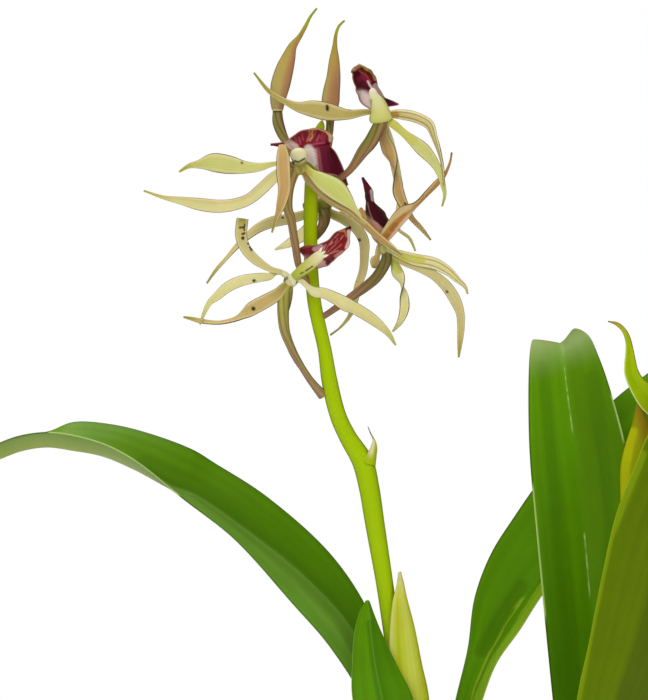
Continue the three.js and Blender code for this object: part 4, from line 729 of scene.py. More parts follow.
lines = clasp([line(stations, SHEATH_ROWS) for stations in YOUNG_LEAF], "pseudobulb_4")
rings = blade(*lines, thickness=0.9, crease=0.4, bulge=0.3, around=SHEATH_AROUND)
tint = shades(u, (0, "#6A8A08"), (0.5, "#9AB400"), (0.75, "#A4B800"), (0.92, "#A6A82C"), (1, "#6E7410"))
tint = blend(tint, linear("#A86E28"), 0.6 * rise(v, 0.1, 0.8) * rise(u, 0.84, 0.92))
tint = blend(tint, linear("#D0E07C"), 0.7 * rise(-v, 0.9, 0.96) * (1 - rise(u, 0.7, 0.85)))
tint = blend(tint, linear("#5E4A10"), 0.8 * rise(v, 0.94, 0.98))
dress("young_leaf", [skin(rings, tint, across)], young_skin, ["young_leaf"])

# %% [markdown]
# ## Spathe and flower stem
#
# The flower stem comes out of a pale folded sheath, the spathe. The stem is round and smooth, a bright
# yellow-green, and it kinks at its only node, where a small bract has dried at its tip.

# %% Spathe, stem and bract
SPATHE = [
  [[-24.8, -4.2, LEAF_FOOT], [-28, -4.6, 185], [-32.2, -4.8, 205], [-32.2, -4.6, 220], [-31.8, -4.2, 231],
    [-30.8, -3.8, 239], [-29.4, -2.6, 245], [-28.6, -1.5, 249.5]],
  [[-20.4, 0, LEAF_FOOT], [-18.6, 0, 185], [-18.1, 0, 205], [-20.7, 0, 218], [-23.2, 0, 230.5],
    [-25.9, -0.5, 241], [-27, -1.2, 246], [-28.1, -1.2, 250]],
  [[-24.8, 4.2, LEAF_FOOT], [-28, 4.6, 185], [-32.2, 4.8, 205], [-32.2, 4.6, 220], [-31.8, 4.2, 231],
    [-31, 3.6, 238], [-28.6, 1, 245], [-28, -0.6, 249.5]],
]
SUNK = 4                      # millimetres that the feet of spathe and stem go into the bulb's top
STEM_ROWS = 330
STEM_AROUND = 40
BRACT_ROWS = 70
BRACT_AROUND = 40
spathe_skin = living("spathe_tissue", veins=14, vein_share=0.3, vein_lift=0.08, roughness=0.5, specular=0.15,
                     glow=0.25)
u, v, across = blade_grid(SHEATH_ROWS, SHEATH_AROUND)
lines = [line([np.subtract(stations[0], (0, 0, SUNK)), *stations], SHEATH_ROWS) for stations in SPATHE]
rings = blade(*lines, thickness=0.7, crease=0.55, bulge=1.9, around=SHEATH_AROUND)
tint = shades(u, (0, "#90A000"), (0.5, "#AEB800"), (0.75, "#B8BE20"), (0.88, "#C6C468"), (1, "#CCB69C"))
tint = blend(tint, linear("#D8DC78"), 0.4 * rise(v, -0.85, -0.45) * (1 - rise(v, -0.4, -0.05)) * rise(u, 0.2, 0.5))
tint = blend(tint, linear("#DCE08C"), 0.5 * rise(-v, 0.80, 0.92))
tint = blend(tint, linear("#6E7410"), 0.8 * rise(np.abs(v), 0.96, 0.99))
dress("spathe", [skin(rings, tint, across)], spathe_skin, ["spathe"])

STEM_FOOT = LEAF_FOOT + 0.4
STEM = [
  [-24.6, 0, STEM_FOOT, 2.6], [-26, 0, 185, 2.6], [-27.6, 0, 205, 2.7], [-30.4, 0, 224.6, 2.9],
  [-33.2, 0, 244.6, 3], [-36.8, 0, 266.6, 3.4], [-38.9, 0, 279.6, 3.6], [-41.1, 0, 288.3, 3.7],
  [-46.3, 0, 297.1, 3.1], [-49.7, 0, 304.5, 2.9], [-52.6, 0, 316.3, 2.8], [-54.4, 0, 327.9, 2.4],
  [-56.4, 0, 336.6, 2.4], [-57.9, 0, 343.9, 2.4], [-59, 0, 355.5, 2.4], [-59.3, 0, 366, 2.4],
  [-59.2, 0, 380, 2.4], [-58.5, 0, 394, 2.2], [-57.2, 0, 401, 2], [-55.8, 0, 405.5, 1.5], [-55.2, 0, 408, 0.8],
]
STEM_BRACT = [
  [[-41, -3.6, 288.2], [-39.2, -2.6, 291.6], [-38.1, -2.4, 294.2], [-37.6, -2.4, 296], [-38.4, -2.6, 298.4],
    [-39.3, -2.8, 300.5]],
  [[-38.4, -3.8, 287.4], [-37.6, -3.4, 291.2], [-37.1, -3.1, 293.8], [-37, -2.9, 295.8], [-38.2, -2.9, 298.2],
    [-39.25, -2.9, 300.7]],
  [[-36.6, -1.5, 287], [-36.2, -1.5, 291], [-36, -1.8, 293.2], [-36.5, -2.2, 295.4], [-37.9, -2.6, 297.9],
    [-39.2, -2.8, 300.6]],
]
stem_skin = living("stem_cuticle", blotch=0.06, blotch_mm=12, grain_mm=0.9, roughness=0.4, specular=0.2, glow=0.2)


def stem_section(s, angle):
    """Faint lengthwise ribs, seven round the stem, that wander a little on the way up."""
    return 1 + 0.012 * np.sin(7 * angle + 3 * np.sin(5 * s))


rings = rod([np.subtract(STEM[0], (0, 0, SUNK, 0)), *STEM], STEM_ROWS, around=STEM_AROUND, section=stem_section,
            closed=(0, 0.01))
s = share_by_row(rings)
tint = shades(s, (0, "#94B000"), (0.3, "#9EBC00"), (0.6, "#A4C000"), (0.85, "#A2B600"), (1, "#AEBA20"))
to_right = to_the_right(rings)
# painted shade: the stem darkens towards its left and right sides as seen from the front
tint = blend(tint, linear("#5E7200"), 0.55 * rise(np.abs(to_right), 1.15, 1.38))
dress("flower_stem", [skin(rings, tint)], stem_skin, ["flower_stem"])

u, v, across = blade_grid(BRACT_ROWS, BRACT_AROUND)
thickness = 0.6 - 0.35 * np.linspace(0, 1, BRACT_ROWS)
rings = blade(*(line(stations, BRACT_ROWS) for stations in STEM_BRACT), thickness=thickness, around=BRACT_AROUND)
tint = shades(u, (0, "#A4BC08"), (0.3, "#AEBC1C"), (0.55, "#B8B84C"), (0.75, "#8C7448"), (1, "#6E5C48"))
tint = blend(tint, linear("#E4D6B0"), 0.85 * (1 - rise(v, -0.3, 0.3)) * rise(u, 0.08, 0.25) * (1 - rise(u, 0.6, 0.75)))
tint = blend(tint, linear("#7A6A30"), 0.7 * rise(np.abs(v), 0.88, 0.97) * rise(u, 0.1, 0.2))
bract_skin = living("dry_bract", veins=6, vein_share=0.3, roughness=0.6, specular=0.25)
dress("stem_bract", [skin(rings, tint, across)], bract_skin, ["stem_bract"])

# %% [markdown]
# ## Blooms
#
# Every bloom has the same pieces: five tepals joined at a hub, a lip folded into a shell above it, the column
# that the lip wraps, and a grooved stalk. But each bloom faces its own way, so every tepal has stations of
# its own, given from the hub as right, away, up, half width and roll. Bloom d has a sixth, short ribbon as
# well, the tan flap beside its stalk. Copies of one bloom would be quicker, and would look it.

# %% Stations of the blooms
BLOOMS = {
  "a": {
    "hub": [-34, -8, 408.7],
    "tepals": [
      {"stations": [[-4.5, -0.5, 1.8, 0.9], [-12.2, -1.5, 1, 1.8], [-19.2, -2, 1.9, 3.2],
        [-24.8, -2, 3, 3], [-29.7, -1.5, 3.6, 1.8], [-33.9, -0.5, 5.4, 1.1], [-39.5, 1.5, 8.9, 0.8],
        [-45.1, 4, 15.7, 0.3]]},
      {"stations": [[2.8, -1, 1, 1.4], [7.7, -3, 0.8, 1.9], [12.2, -4.5, -0.4, 1.9], [16, -5.5, -2.7, 1.7],
        [17.8, -6, -7, 1.2, 30], [19.9, -6.5, -14, 1.1, 60], [20.8, -7, -19.2, 0.8, 60],
        [21, -7, -24.1, 0.3, 60]]},
      {"stations": [[3.5, -0.5, -2.3, 1.5], [7.6, -2, -5.8, 1.4], [13.6, -3, -11, 2.4],
        [17.5, -3.5, -15.4, 1.8], [19.8, -3.5, -19.7, 1.2], [20.9, -3.5, -23.7, 0.9],
        [21.5, -3, -27.1, 0.6], [20.6, -3, -31.1, 0.3]]},
      {"stations": [[0.6, 1, -2.3, 1], [0.2, 4, -6.3, 1.6], [1.9, 7, -11, 2.4], [3.4, 9, -15.7, 2.2, 55],
        [4.7, 10, -21.5, 2, 130], [5.4, 10.5, -25.9, 2.1, 170], [7.2, 10.5, -30.1, 1.7, 180],
        [10.1, 10, -35, 1, 180], [13.6, 9, -38.8, 0.8, 180], [16.8, 8, -42.7, 0.3, 180]]},
      {"stations": [[0, 4, -1, 1.2], [2.2, 9, -8, 1.6], [4.6, 13, -18, 1.6], [6.2, 15, -28, 1.3],
        [5.2, 15, -35, 0.9], [5.5, 15.5, -38.7, 0.6], [9.4, 16, -42, 0.55], [11.5, 16, -46.5, 0.3]]},
    ],
    "lip": [
      [[-36, -6.5, 410.3], [-41.1, -6.5, 413.6], [-42.8, -7.5, 416.5], [-44, -8.5, 420],
        [-44.8, -9, 423.5], [-44.8, -8.5, 425.6], [-42.6, -8, 426.9]],
      [[-35.2, -6.2, 410.2], [-39.5, -4.5, 414.5], [-40.3, -4, 418], [-40.6, -4, 421.5],
        [-41, -4.5, 424.5], [-41.6, -6, 426.2], [-42.3, -7.7, 427.2]],
      [[-34.5, -6.2, 412.4], [-28.4, -6, 413.3], [-33.4, -7, 415.8], [-35.8, -8, 420.3],
        [-37, -9, 423.6], [-39.8, -9.5, 426], [-42, -8, 426.9]],
    ],
    "stalk": [[-34, -8, 408.7, 2.4], [-35.4, -8.5, 405.6, 2.4], [-38.2, -10, 400.3, 2.4],
      [-41, -11, 396.8, 2.1], [-46, -12, 389.8, 1.3], [-52.5, -7, 385.4, 1.1], [-56.5, -2, 383.6, 1.1],
      [-58.8, 0, 382.6, 1.3]],
  },
  "b": {
    "hub": [-63.4, -16, 390.9],
    "tepals": [
      {"stations": [[-2.4, -0.5, 1.4, 0.8], [-8.4, -2, 1.4, 0.8], [-13.6, -3, 0.2, 1.5],
        [-18.5, -3.5, 0.1, 2.2], [-24.1, -4, 1, 3.3], [-29.9, -4, 1.8, 3.3], [-34.6, -3.5, 1.2, 1.6],
        [-38.1, -3, 0.6, 0.9], [-41.6, -2.5, -1.4, 0.3]]},
      {"stations": [[-3.1, -0.5, 0.5, 1], [-8.4, -1, -3.1, 1.9], [-12.8, -1, -7.2, 2.1],
        [-17.5, -0.5, -11, 2], [-22.8, 0, -12.8, 2.1], [-28.3, 0.5, -13.3, 2.3],
        [-34.6, 1, -12.6, 2.2], [-40.9, 1.5, -11.4, 1.4], [-46.9, 2, -10.3, 0.7], [-54, 3, -7.9, 0.3]]},
      {"facing": [0, -0.6, 0.8], "stations": [[-3.4, -3, 1.5, 1.2], [-5.2, -9, 4.5, 1.5],
        [-5.6, -15, 6.9, 1.5], [-5.6, -19.4, 7.2, 1.4], [-5.4, -22, 3.6, 2.3], [-5.2, -23.5, -2.1, 2.5],
        [-4.9, -24, -7.3, 2.3], [-6.3, -24, -13.6, 1.8], [-7.9, -23, -18.2, 0.9],
        [-9.2, -22, -22.8, 0.3]]},
      {"stations": [[1.4, -0.5, 0.8, 0.8], [4.5, -1.5, -1.9, 1.6], [8.3, -2, -4.6, 3.2], [12.8, -2, -7.5, 3.9],
        [16.5, -2, -11.1, 2.6], [19.3, -1.5, -14.2, 1.1], [21.2, -1.2, -16.6, 0.6], [23.2, -1, -20, 0.3]]},
      {"stations": [[1.8, 0.5, -1.8, 1], [3.8, 1.5, -4.9, 1.6, 40], [7.3, 2, -8.8, 1.9, 50],
        [12.2, 2, -12.2, 2, 45], [17.8, 1.5, -15.4, 2, 45], [22, 1, -18.9, 2, 45],
        [26.9, 0.5, -23.4, 1.8, 45], [31.8, 0, -27.3, 1.2, 30], [36, -0.5, -30.4, 0.3]]},
    ],
    "lip": [
      [[-73, -11.5, 399.5], [-68.6, -12, 400.1], [-66.5, -12.5, 401.2], [-63, -12.5, 403.6],
        [-59.2, -12.5, 404.6], [-55.3, -12, 404.7], [-51.5, -11, 401.8], [-52.6, -10.2, 399.2],
        [-50.4, -9.3, 396.4], [-47.8, -7.5, 390.8], [-46.2, -6, 385.2]],
      [[-73.3, -11.2, 399.1], [-69, -11, 399], [-66, -9.5, 399.2], [-63, -8, 399.2], [-59.5, -6.8, 399],
        [-56, -6.3, 398.8], [-53, -6.2, 397.3], [-52.3, -6.1, 395.7], [-51.5, -6, 394], [-49.2, -5.6, 389],
        [-46.4, -5.5, 385]],
      [[-73, -11, 398.8], [-68.6, -11.5, 397.9], [-65.2, -12.2, 396.5], [-62.6, -14.2, 393.8],
        [-59.4, -12.5, 392.4], [-57, -10.8, 390], [-55.4, -9.2, 389.2], [-53, -8, 388.8], [-50.2, -6.6, 388.2],
        [-48.2, -6, 386.5], [-46.6, -5.3, 384.8]],
    ],
    "stalk": [[-63.7, -16, 391.6, 2.3], [-65.4, -16, 388.4, 2], [-66.8, -15.2, 383.4, 1.7],
      [-67.2, -14, 376.9, 1.7], [-66.2, -13, 373.7, 1.6], [-65.2, -11.5, 367.8, 1.5],
      [-64.4, -9.5, 362.9, 1.4], [-63.4, -6, 356.9, 1.2], [-60.9, -2, 352, 1.2], [-59, 0, 349.5, 1.4]],
  },
  "c": {
    "hub": [-66.2, -14, 351.6],
    "tepals": [
      {"stations": [[-1.6, -1, 1.9, 1.1], [-3.6, -1.6, 3.1, 0.9], [-7.1, -2.5, 4.1, 1.1], [-12.2, -4, 7.3, 1.7],
        [-15.7, -5, 11.2, 1.9], [-17.2, -5.5, 15.4, 2.1], [-17.1, -5.4, 18.6, 2.2],
        [-16.7, -5.2, 21.7, 2.1]]},
      {"stations": [[-2.4, 0.6, 2.2, 0.6], [-5.2, 0.2, 2.9, 0.9], [-7.4, -1.2, 1.6, 1.3], [-11, -3, 1.1, 1.6],
        [-16.8, -3.5, 0.1, 1.9], [-21.7, -3.5, -2.1, 1.9], [-25.8, -3, -5.5, 1.5], [-28.2, -2.5, -7.6, 1],
        [-30.1, -2, -11.2, 0.7],
        [-31.6, -1.5, -15.2, 0.3]]},
      {"stations": [[-2.4, -1.5, -2, 1.4], [-4.6, -1.5, -4.6, 2.1], [-8.8, -1.5, -7.2, 2.5],
        [-13.3, -1.5, -9.6, 2.5], [-16.8, -1, -11.7, 2, 45], [-19.7, -0.5, -13.2, 1.8, 65],
        [-24.5, 0, -14.3, 1.7, 70], [-29.7, 0.5, -14, 1.5, 60], [-34.3, 1, -13.2, 0.8, 30],
        [-37.4, 1, -12.6, 0.3]]},
      {"stations": [[3.5, -0.5, 0, 0.9], [6, -1.5, -2.1, 1], [8.3, -2, -3.9, 1.9], [11.8, -2, -4.4, 1.9],
      [15.4, -2, -6, 2.1], [18.9, -2, -8, 2.6],
        [22.8, -1, -9.8, 2.2], [29, 0, -13.8, 1.9], [33.9, 1, -18.2, 1.1], [36.6, 1.5, -22.4, 0.3]]},
      {"facing": [0, 0, 1], "stations": [[-0.6, 5, -4, 1.4, 20], [-1.6, 9, -10, 2, 60],
        [-1.6, 11, -16, 1.8, 80], [-0.4, 12, -22, 1.5, 80], [1.8, 12.5, -27.5, 1, 80],
        [4.6, 13, -32.5, 0.3, 80]]},
    ],
    "lip": [
      [[-64.8, -12.4, 352.9], [-61.5, -11.5, 356.5], [-60.6, -9.2, 358.4], [-62.2, -5.8, 360.8],
        [-63.6, -5.2, 362.5], [-61.5, -5, 364], [-58, -5.6, 364.1], [-53.7, -6.5, 365.6],
        [-50.4, -7.5, 368.8], [-47.8, -8.5, 369.8], [-45.6, -9, 370.8]],
      [[-64.4, -12.2, 352.5], [-59.5, -10, 356], [-57.8, -8, 358.2], [-56.8, -7, 360.2],
        [-56, -6.5, 361.2], [-55, -6.3, 361.8], [-53, -6.3, 362.8], [-50.8, -6.4, 364.6],
        [-48.8, -7, 366.6], [-46.8, -8.2, 368.8], [-45.3, -9.2, 370.6]],
      [[-64, -12.4, 352.9], [-61.5, -12, 354.8], [-59, -11.5, 356.4], [-57, -11, 355.9], [-54.3, -10.5, 356.6],
        [-52.5, -10.2, 357.4], [-51, -10, 358.8], [-49, -10, 360.6], [-47.3, -10, 362],
        [-45.6, -9.8, 364.3], [-45.6, -9.5, 367.6], [-45, -9.2, 370.2]],
    ],
    "stalk": [[-66.2, -14, 351.6, 2.1], [-67.9, -13.5, 348.4, 2.1], [-68.6, -13.5, 345, 2.2],
      [-68.8, -13, 339.4, 2], [-68.2, -11.5, 334.1, 1.8], [-66, -9, 328.2, 1.5],
      [-62.7, -5.5, 322.1, 1.2], [-59.1, -2.5, 316.6, 1.3], [-55, 0, 311.6, 1.8]],
  },
  "d": {
    "hub": [-32.9, -4, 362.9],
    "tepals": [
      {"stations": [[-1, -2, 2.6, 1.8], [1.8, -4, 7, 2.4], [5.6, -5, 11.9, 2.6], [10.2, -4.5, 14.8, 2, 60],
        [14.5, -3, 19.1, 1.8, 60], [18, -2.5, 23, 1.3, 40], [20.5, -2.5, 25.9, 0.7, 20],
        [22.4, -3, 30.4, 0.4], [22.9, -3.5, 33.6, 0.3]]},
      {"stations": [[2, -1.5, -0.8, 1], [5.8, -2, -2.4, 1.7], [9.8, -2.5, -3.8, 2.1], [16.8, -3, -5.2, 2.1],
        [21.6, -3, -7.8, 1.7], [25, -2.5, -10.9, 1.1], [27.7, -2, -13.5, 0.6], [28.5, -1.5, -15.8, 0.3]]},
      {"stations": [[2.1, -0.5, -2.1, 1], [5.5, -1, -4.4, 1.2], [10.7, -1, -6.3, 1.5],
        [16.4, -1, -9.1, 1.7], [20.8, -1, -12.9, 2], [24.1, -0.5, -17.8, 2], [25.9, 0, -22.6, 1.5],
        [26.2, 0.5, -27.3, 1.3], [25.9, 1, -32.2, 1], [25.4, 1.5, -38, 0.3]]},
      {"stations": [[1.4, 1, -2.1, 0.8], [2.6, 2, -4.4, 1.2], [4, 3, -8.2, 2.1], [5.3, 3.5, -12.1, 1.9, 70],
        [6.2, 4, -16.8, 1.8, 150], [6.4, 4, -21.2, 1.7, 180], [4.9, 4, -25.5, 1.1, 180],
        [2.3, 4, -29, 0.3, 180]]},
      {"stations": [[-3.5, 2, 4, 1.2, 30], [-5.5, 8, 9.5, 1.8, 30], [-7.5, 17, 12.5, 1.8, 30],
        [-8.5, 24, 14, 1, 30], [-8.2, 30, 14, 0.3, 30]]},
      {"stations": [[-1.8, 1.5, 1, 1.2], [-2.4, 2, -0.6, 1.3], [-3, 2.2, -2.4, 0.9], [-3.7, 2.4, -3.9, 1.7],
        [-4, 2.4, -5.3, 1.6], [-4.3, 2.4, -6.8, 0.6]]},
    ],
    "lip": [
      [[-34.5, -4.2, 364.4], [-36, -2, 367], [-38.6, -1, 371], [-39.8, -0.5, 375], [-40, -0.8, 380],
        [-40.4, -1.8, 384], [-41.4, -2.8, 387.7]],
      [[-34.2, -5, 364.6], [-34.8, -5, 367.5], [-35.8, -5, 371.5], [-37, -4.8, 376], [-38.6, -4, 380.5],
        [-39.6, -3.5, 384], [-41.1, -3.2, 387.9]],
      [[-33.4, -3.4, 364.8], [-31.8, -1.5, 368], [-31.4, -0.5, 371.6], [-33.4, -0.2, 375.6], [-37, -1, 379.2],
        [-37.6, -1.8, 383.2], [-40.8, -2.8, 387.7]],
    ],
    "stalk": [[-32.9, -4, 362.9, 2], [-32.6, -4, 360.1, 2], [-33.2, -4, 357.9, 2], [-36.5, -4, 352.7, 1.9],
      [-41, -3.5, 348.9, 1.8], [-43.8, -3.2, 346.9, 1.6], [-50.4, -2, 342.2, 1.2], [-55, -0.5, 339.2, 1.1],
      [-57.2, 0, 338.4, 1.3]],
  },
  "e": {
    "hub": [-55, 11, 378.2],
    "tepals": [
      {"stations": [[-3, -0.5, -1.3, 1], [-6.3, -1, -3.1, 1.6], [-12.2, -2, -4.7, 1.9],
        [-17.8, -3, -5.8, 2], [-22.8, -4, -7.9, 1.8, 20], [-26.6, -5, -10.8, 1.6, 40],
        [-30.1, -5.5, -14, 1.4, 50], [-33.9, -6, -18.4, 1, 50], [-37.3, -6, -22.4, 0.7, 30],
        [-40.7, -6, -27.3, 0.3]]},
      {"stations": [[-2, 1.2, -3, 1.2], [-3.8, 2, -5.9, 1.7], [-7, 3, -10.1, 2.2], [-11.5, 3.5, -12.9, 1.6],
        [-16.9, 4, -15.4, 0.3]]},
      {"stations": [[2.8, 1.5, -2.6, 1.5], [7.7, 0, -4.9, 1.9], [11.5, -2, -7.7, 1.9],
        [14.3, -3, -12.2, 1.9], [14.6, -4, -17.8, 1.6], [14.1, -4, -22.9, 1.5], [12.3, -4, -28.3, 1.35],
        [11.2, -4, -33.6, 1.1], [9.6, -4, -38.4, 0.75], [6.2, -4, -42.7, 0.4], [2.6, -4, -45.5, 0.3]]},
      {"facing": [0, -0.3, 1], "stations": [[3.5, 6, 0.5, 1.4], [6, 15, 2, 2.1, 20], [7, 25, 1.5, 2, 20],
        [7.2, 34, -1.2, 1.2, 20], [6.5, 41, -4.4, 0.3, 20]]},
      {"facing": [0, -0.3, 1], "stations": [[-3.5, 6, 0.5, 1.4], [-5.5, 15, 2, 1.9, -30],
        [-5.6, 25, 1, 1.8, -30], [-5, 34, -3, 1.1, -30], [-4.5, 40, -10, 0.3, -30]]},
    ],
    "lip": [
      [[-56, 12.6, 379.6], [-59.5, 16, 384], [-61.8, 19, 388.5], [-60.5, 23, 393.5], [-57, 26, 397.5],
        [-54.8, 27.6, 399.6]],
      [[-55, 13, 380], [-55, 19, 384], [-54.8, 23, 388], [-54.6, 26, 392.5], [-54.4, 27.8, 396.8],
        [-54.3, 28.4, 400]],
      [[-54, 12.6, 379.6], [-50.3, 16, 384], [-47.8, 19, 388.5], [-48.6, 23, 393.5], [-51.8, 26, 397.5],
        [-53.8, 27.6, 399.6]],
    ],
    "stalk": [[-55, 11, 378.2, 2], [-54.4, 9, 375.6, 2], [-54.5, 7, 373, 2.1], [-55.4, 4.5, 370.2, 1.7],
      [-58, 1.2, 366.6, 1.3]],
  },
}
print("blooms:", ", ".join(BLOOMS))

# %% [markdown]
# The three outer tepals are sepals, cream to tan. The two inner ones are petals, greener. All are thick and
# waxy, with fine lengthwise lines, a pale band inside a thin dark margin, a pinkish flush on one side, and a
# few dark flecks. Beside the hub of bloom c two dark olive strokes are painted shadow, and one tepal of bloom e
# is painted paler, as painted light, where it lies in shade.

# %% Tepals
TEPAL_ROWS = 126
TEPAL_AROUND = 44
TEPAL_COLOURS = {
    "olive": ("#A09442", "#B8A862", "#AC9E50", "#868A28"),
    # painted light: this kind is paler than the tepal's own colour, to brighten the tepal of bloom e that lies in shade
    "light": ("#E0DAA0", "#F0E8B4", "#F0E8B8", "#D8D284"),
    "green": ("#B0B654", "#CACA7A", "#C0BA66", "#8C9632"),
    "bright": ("#B8BA54", "#C4C86E", "#CAC67C", "#A6A648"),
    "cream": ("#B0A854", "#CABF82", "#C0B26E", "#8A8A30"),
    "pale": ("#C4C27C", "#D8D292", "#D2CA84", "#A8A850"),
    "tan": ("#A2904C", "#C0A86A", "#B8A05C", "#84822A"),
    "peach": ("#AC8C58", "#C29E64", "#BA985A", "#868032"),
    "rose": ("#A8743A", "#B88648", "#BC8850", "#8A6A34"),
}
TEPAL_KINDS = {
    "a": ("olive", "cream", "green", "peach", "pale"),
    "b": ("green", "pale", "peach", "bright", "tan"),
    "c": ("cream", "pale", "tan", "pale", "tan"),
    "d": ("rose", "pale", "cream", "pale", "rose", "tan"),
    "e": ("cream", "light", "cream", "cream", "green"),
}
FLUSH = {"a": (0.4, 1, 0, 0.5, 0), "b": (0.2, 0.8, 0.5, 0.3, 0.8), "c": (0.1, 0, 0.1, 0.4, 0.4),
         "d": (0, 0.2, 0.4, 0.1, 1, 0.2), "e": (0.4, 0.0, 0.4, 0.3, 0.3)}
LINED = {"a": (1,), "b": (4,), "d": (1,)}
FLECK = "#2A1408"
FLECKS_AND_SHADOW_STROKES = {
    "a": [(FLECK, 0.95, 0.38, [(-53.4, 411.3), (-53.5, 412.6)]), (FLECK, 0.9, 0.35, [(-45.8, 411.6), (-44.8, 411.7)]),
          (FLECK, 0.9, 0.35, [(-26.1, 378.7)]), ("#A06A24", 0.7, 0.9, [(-31.6, 409.2), (-29.6, 409.6)]),
          ("#C8C25C", 0.8, 1.1, [(-32, 407.4), (-28, 404), (-23.6, 400.4)])],
    "b": [(FLECK, 0.9, 0.3, [(-83.1, 392.6)]), ("#C4B04C", 0.6, 0.7, [(-61, 390), (-59.6, 389)]),
          ("#C08A50", 0.5, 1.0, [(-38.6, 371), (-36, 368.6), (-33, 366)])],
    "c": [(FLECK, 0.9, 0.25, [(-83.9, 370.0), (-82.5, 370.2)]), (FLECK, 0.9, 0.2, [(-82.2, 370.3), (-82.2, 371.2)]),
          (FLECK, 0.9, 0.2, [(-82.4, 369.7), (-82.3, 369.2)]), (FLECK, 0.9, 0.28, [(-82.9, 367.8), (-82.3, 368.1)]),
          (FLECK, 0.95, 0.42, [(-82.8, 366.4)]), (FLECK, 0.9, 0.3, [(-80.95, 364.5)]),
          (FLECK, 0.9, 0.3, [(-80.3, 363.3), (-79.8, 362.3)]), (FLECK, 0.95, 0.42, [(-78.9, 351.6)]),
          (FLECK, 0.95, 0.5, [(-79.2, 341.9)]), ("#E0DAB0", 0.85, 1.2,
          [(-67.4, 354.6), (-64.6, 352.8), (-64.4, 351.4)]),
          # painted shadow: dark olive gaps beside the hub of bloom c
          ("#5E5C1A", 0.8, 0.35, [(-68.8, 351.6), (-67.4, 352.6)]),
          ("#5E5C1A", 0.7, 0.25, [(-64, 351.2), (-63.7, 349.2)]),
          ("#DCD8A4", 0.7, 0.8, [(-62, 350.8), (-58.6, 348.4), (-57, 347)])],
    "d": [(FLECK, 0.9, 0.35, [(-11.6, 347.8)]), ("#8A5420", 0.6, 0.7, [(-30.7, 369.6), (-29.6, 371.2)]),
          ("#94602A", 0.6, 0.8, [(-33.6, 365.8), (-32, 367.2)]),
          ("#A86A34", 0.6, 0.6, [(-28.4, 372.4), (-26.6, 374.6)]),
          ("#CCBC84", 0.75, 0.55, [(-34.4, 369), (-31, 373.1), (-27.2, 375.9), (-24.4, 377.4)]),
          ("#DCB894", 0.65, 0.4, [(-31.6, 366.2), (-29.1, 369.8), (-25.6, 373.7), (-22.4, 377)]),
          ("#B8C038", 0.7, 1.0, [(-30.6, 358), (-28.6, 355.6)]),
          ("#C0BE4C", 0.75, 1.0, [(-27.4, 360), (-23.8, 359.4), (-20.6, 359)])],
    "e": [(FLECK, 0.9, 0.3, [(-69.1, 374.0)]), (FLECK, 0.9, 0.32, [(-42.5, 366.3), (-42.0, 366.0)])],
}
HUB_COLOURS = {"a": "#C9CC7C", "b": "#A89C52", "c": "#CEC890", "d": "#B4B470", "e": "#8E8A30"}
HUB_ROWS = 40
HUB_AROUND = 40
HUB_SIZES = {"a": 2.4, "b": 2.6, "c": 2.4, "d": 2.4, "e": 2.9}
tepal_skin = living("tepal_wax", veins=7, vein_share=0.45, vein_lift=0.12, blotch=0.05, blotch_mm=6, grain_mm=0.35,
                    roughness=0.5, specular=0.18, glow=0.3, vein_dark=0.84)


def tepal_tint(u, v, kind, flush, lined):
    """Root, body and tip colours along the tepal, a pale band over |v| from 0.6 to 0.9, a flush of brownish
    pink that grows towards v = 1, and a thin dark line at both margins. A lined tepal is rolled in, so it
    shows a brown line inside each margin as well."""
    root, body, late, tip = TEPAL_COLOURS[kind]
    edge = np.abs(v)
    tint = shades(u, (0, root), (0.12, root), (0.28, body), (0.6, body), (0.85, late), (1, tip))
    tint = blend(tint, linear("#A8743C"), 0.45 * flush * rise(v, -0.1, 0.8))
    tint = blend(tint, linear("#E4DAA6"), (0.8 if lined else 0.4) * rise(edge, 0.45, 0.74))
    if lined:
        tint = blend(tint, linear("#7C5424"), 0.75 * rise(edge, 0.26, 0.38) * (1 - rise(edge, 0.42, 0.54)))
    return blend(tint, linear("#463818"), 0.9 * rise(edge, 0.85, 0.94))


def tepal(hub, arm, kind, flush, lined, flecks_and_shadow, seed):
    """One tepal: a ribbon from the hub, with a soft ripple along its margins, and its tint."""
    stations = [(0, 0, 0, 0.8)] + [tuple(s) for s in arm["stations"]]
    stations = [(hub[0] + s[0], hub[1] + s[1], hub[2] + s[2], *s[3:]) for s in stations]
    left, middle, right = ribbon_lines(stations, TEPAL_ROWS, arm.get("facing", (0, -1, 0)))
    u, v, across = blade_grid(TEPAL_ROWS, TEPAL_AROUND)
    half = TEPAL_AROUND // 2 + 1
    waves = 0.22 * ripple(u[:, :half], v[:, :half], seed, reach=(5, 1)) * np.abs(v[:, :half])
    waves = waves * np.sin(np.pi * u[:, :half])
    thickness = 0.75 * (1 - 0.5 * rise(np.linspace(0, 1, TEPAL_ROWS), 0.6, 1))
    rings = blade(left, middle, right, thickness, around=TEPAL_AROUND, uneven=waves)
    return skin(rings, paint(tepal_tint(u, v, kind, flush, lined), rings, flecks_and_shadow), across)


def hub(centre, size, colour, flecks_and_shadow, seed):
    """Knob that joins the tepals: a ball whose radius is uneven by a tenth, because five roots swell into it.
    Painted shade darkens the hollows between the swellings.
    """
    x, y, z = centre
    rings = rod([(x, y, z - size, size), (x, y, z + size, size)], HUB_ROWS, around=HUB_AROUND, closed=(0.5, 0.5))
    u, v = np.meshgrid(np.linspace(0, 1, HUB_ROWS), np.linspace(0, 1, HUB_AROUND, endpoint=False), indexing="ij")
    swell = 1 + 0.1 * np.sin(TURN * 5 * v + seed + 3 * u) * np.sin(np.pi * u)
    rings = centre + (rings - centre) * swell[..., None]
    # painted shade: darker in the hollows between the swellings
    tint = blend(np.broadcast_to(linear(colour), rings.shape), linear("#5A5026"), 0.3 * rise(-swell, -1, -0.92))
    return skin(rings, paint(tint, rings, flecks_and_shadow))


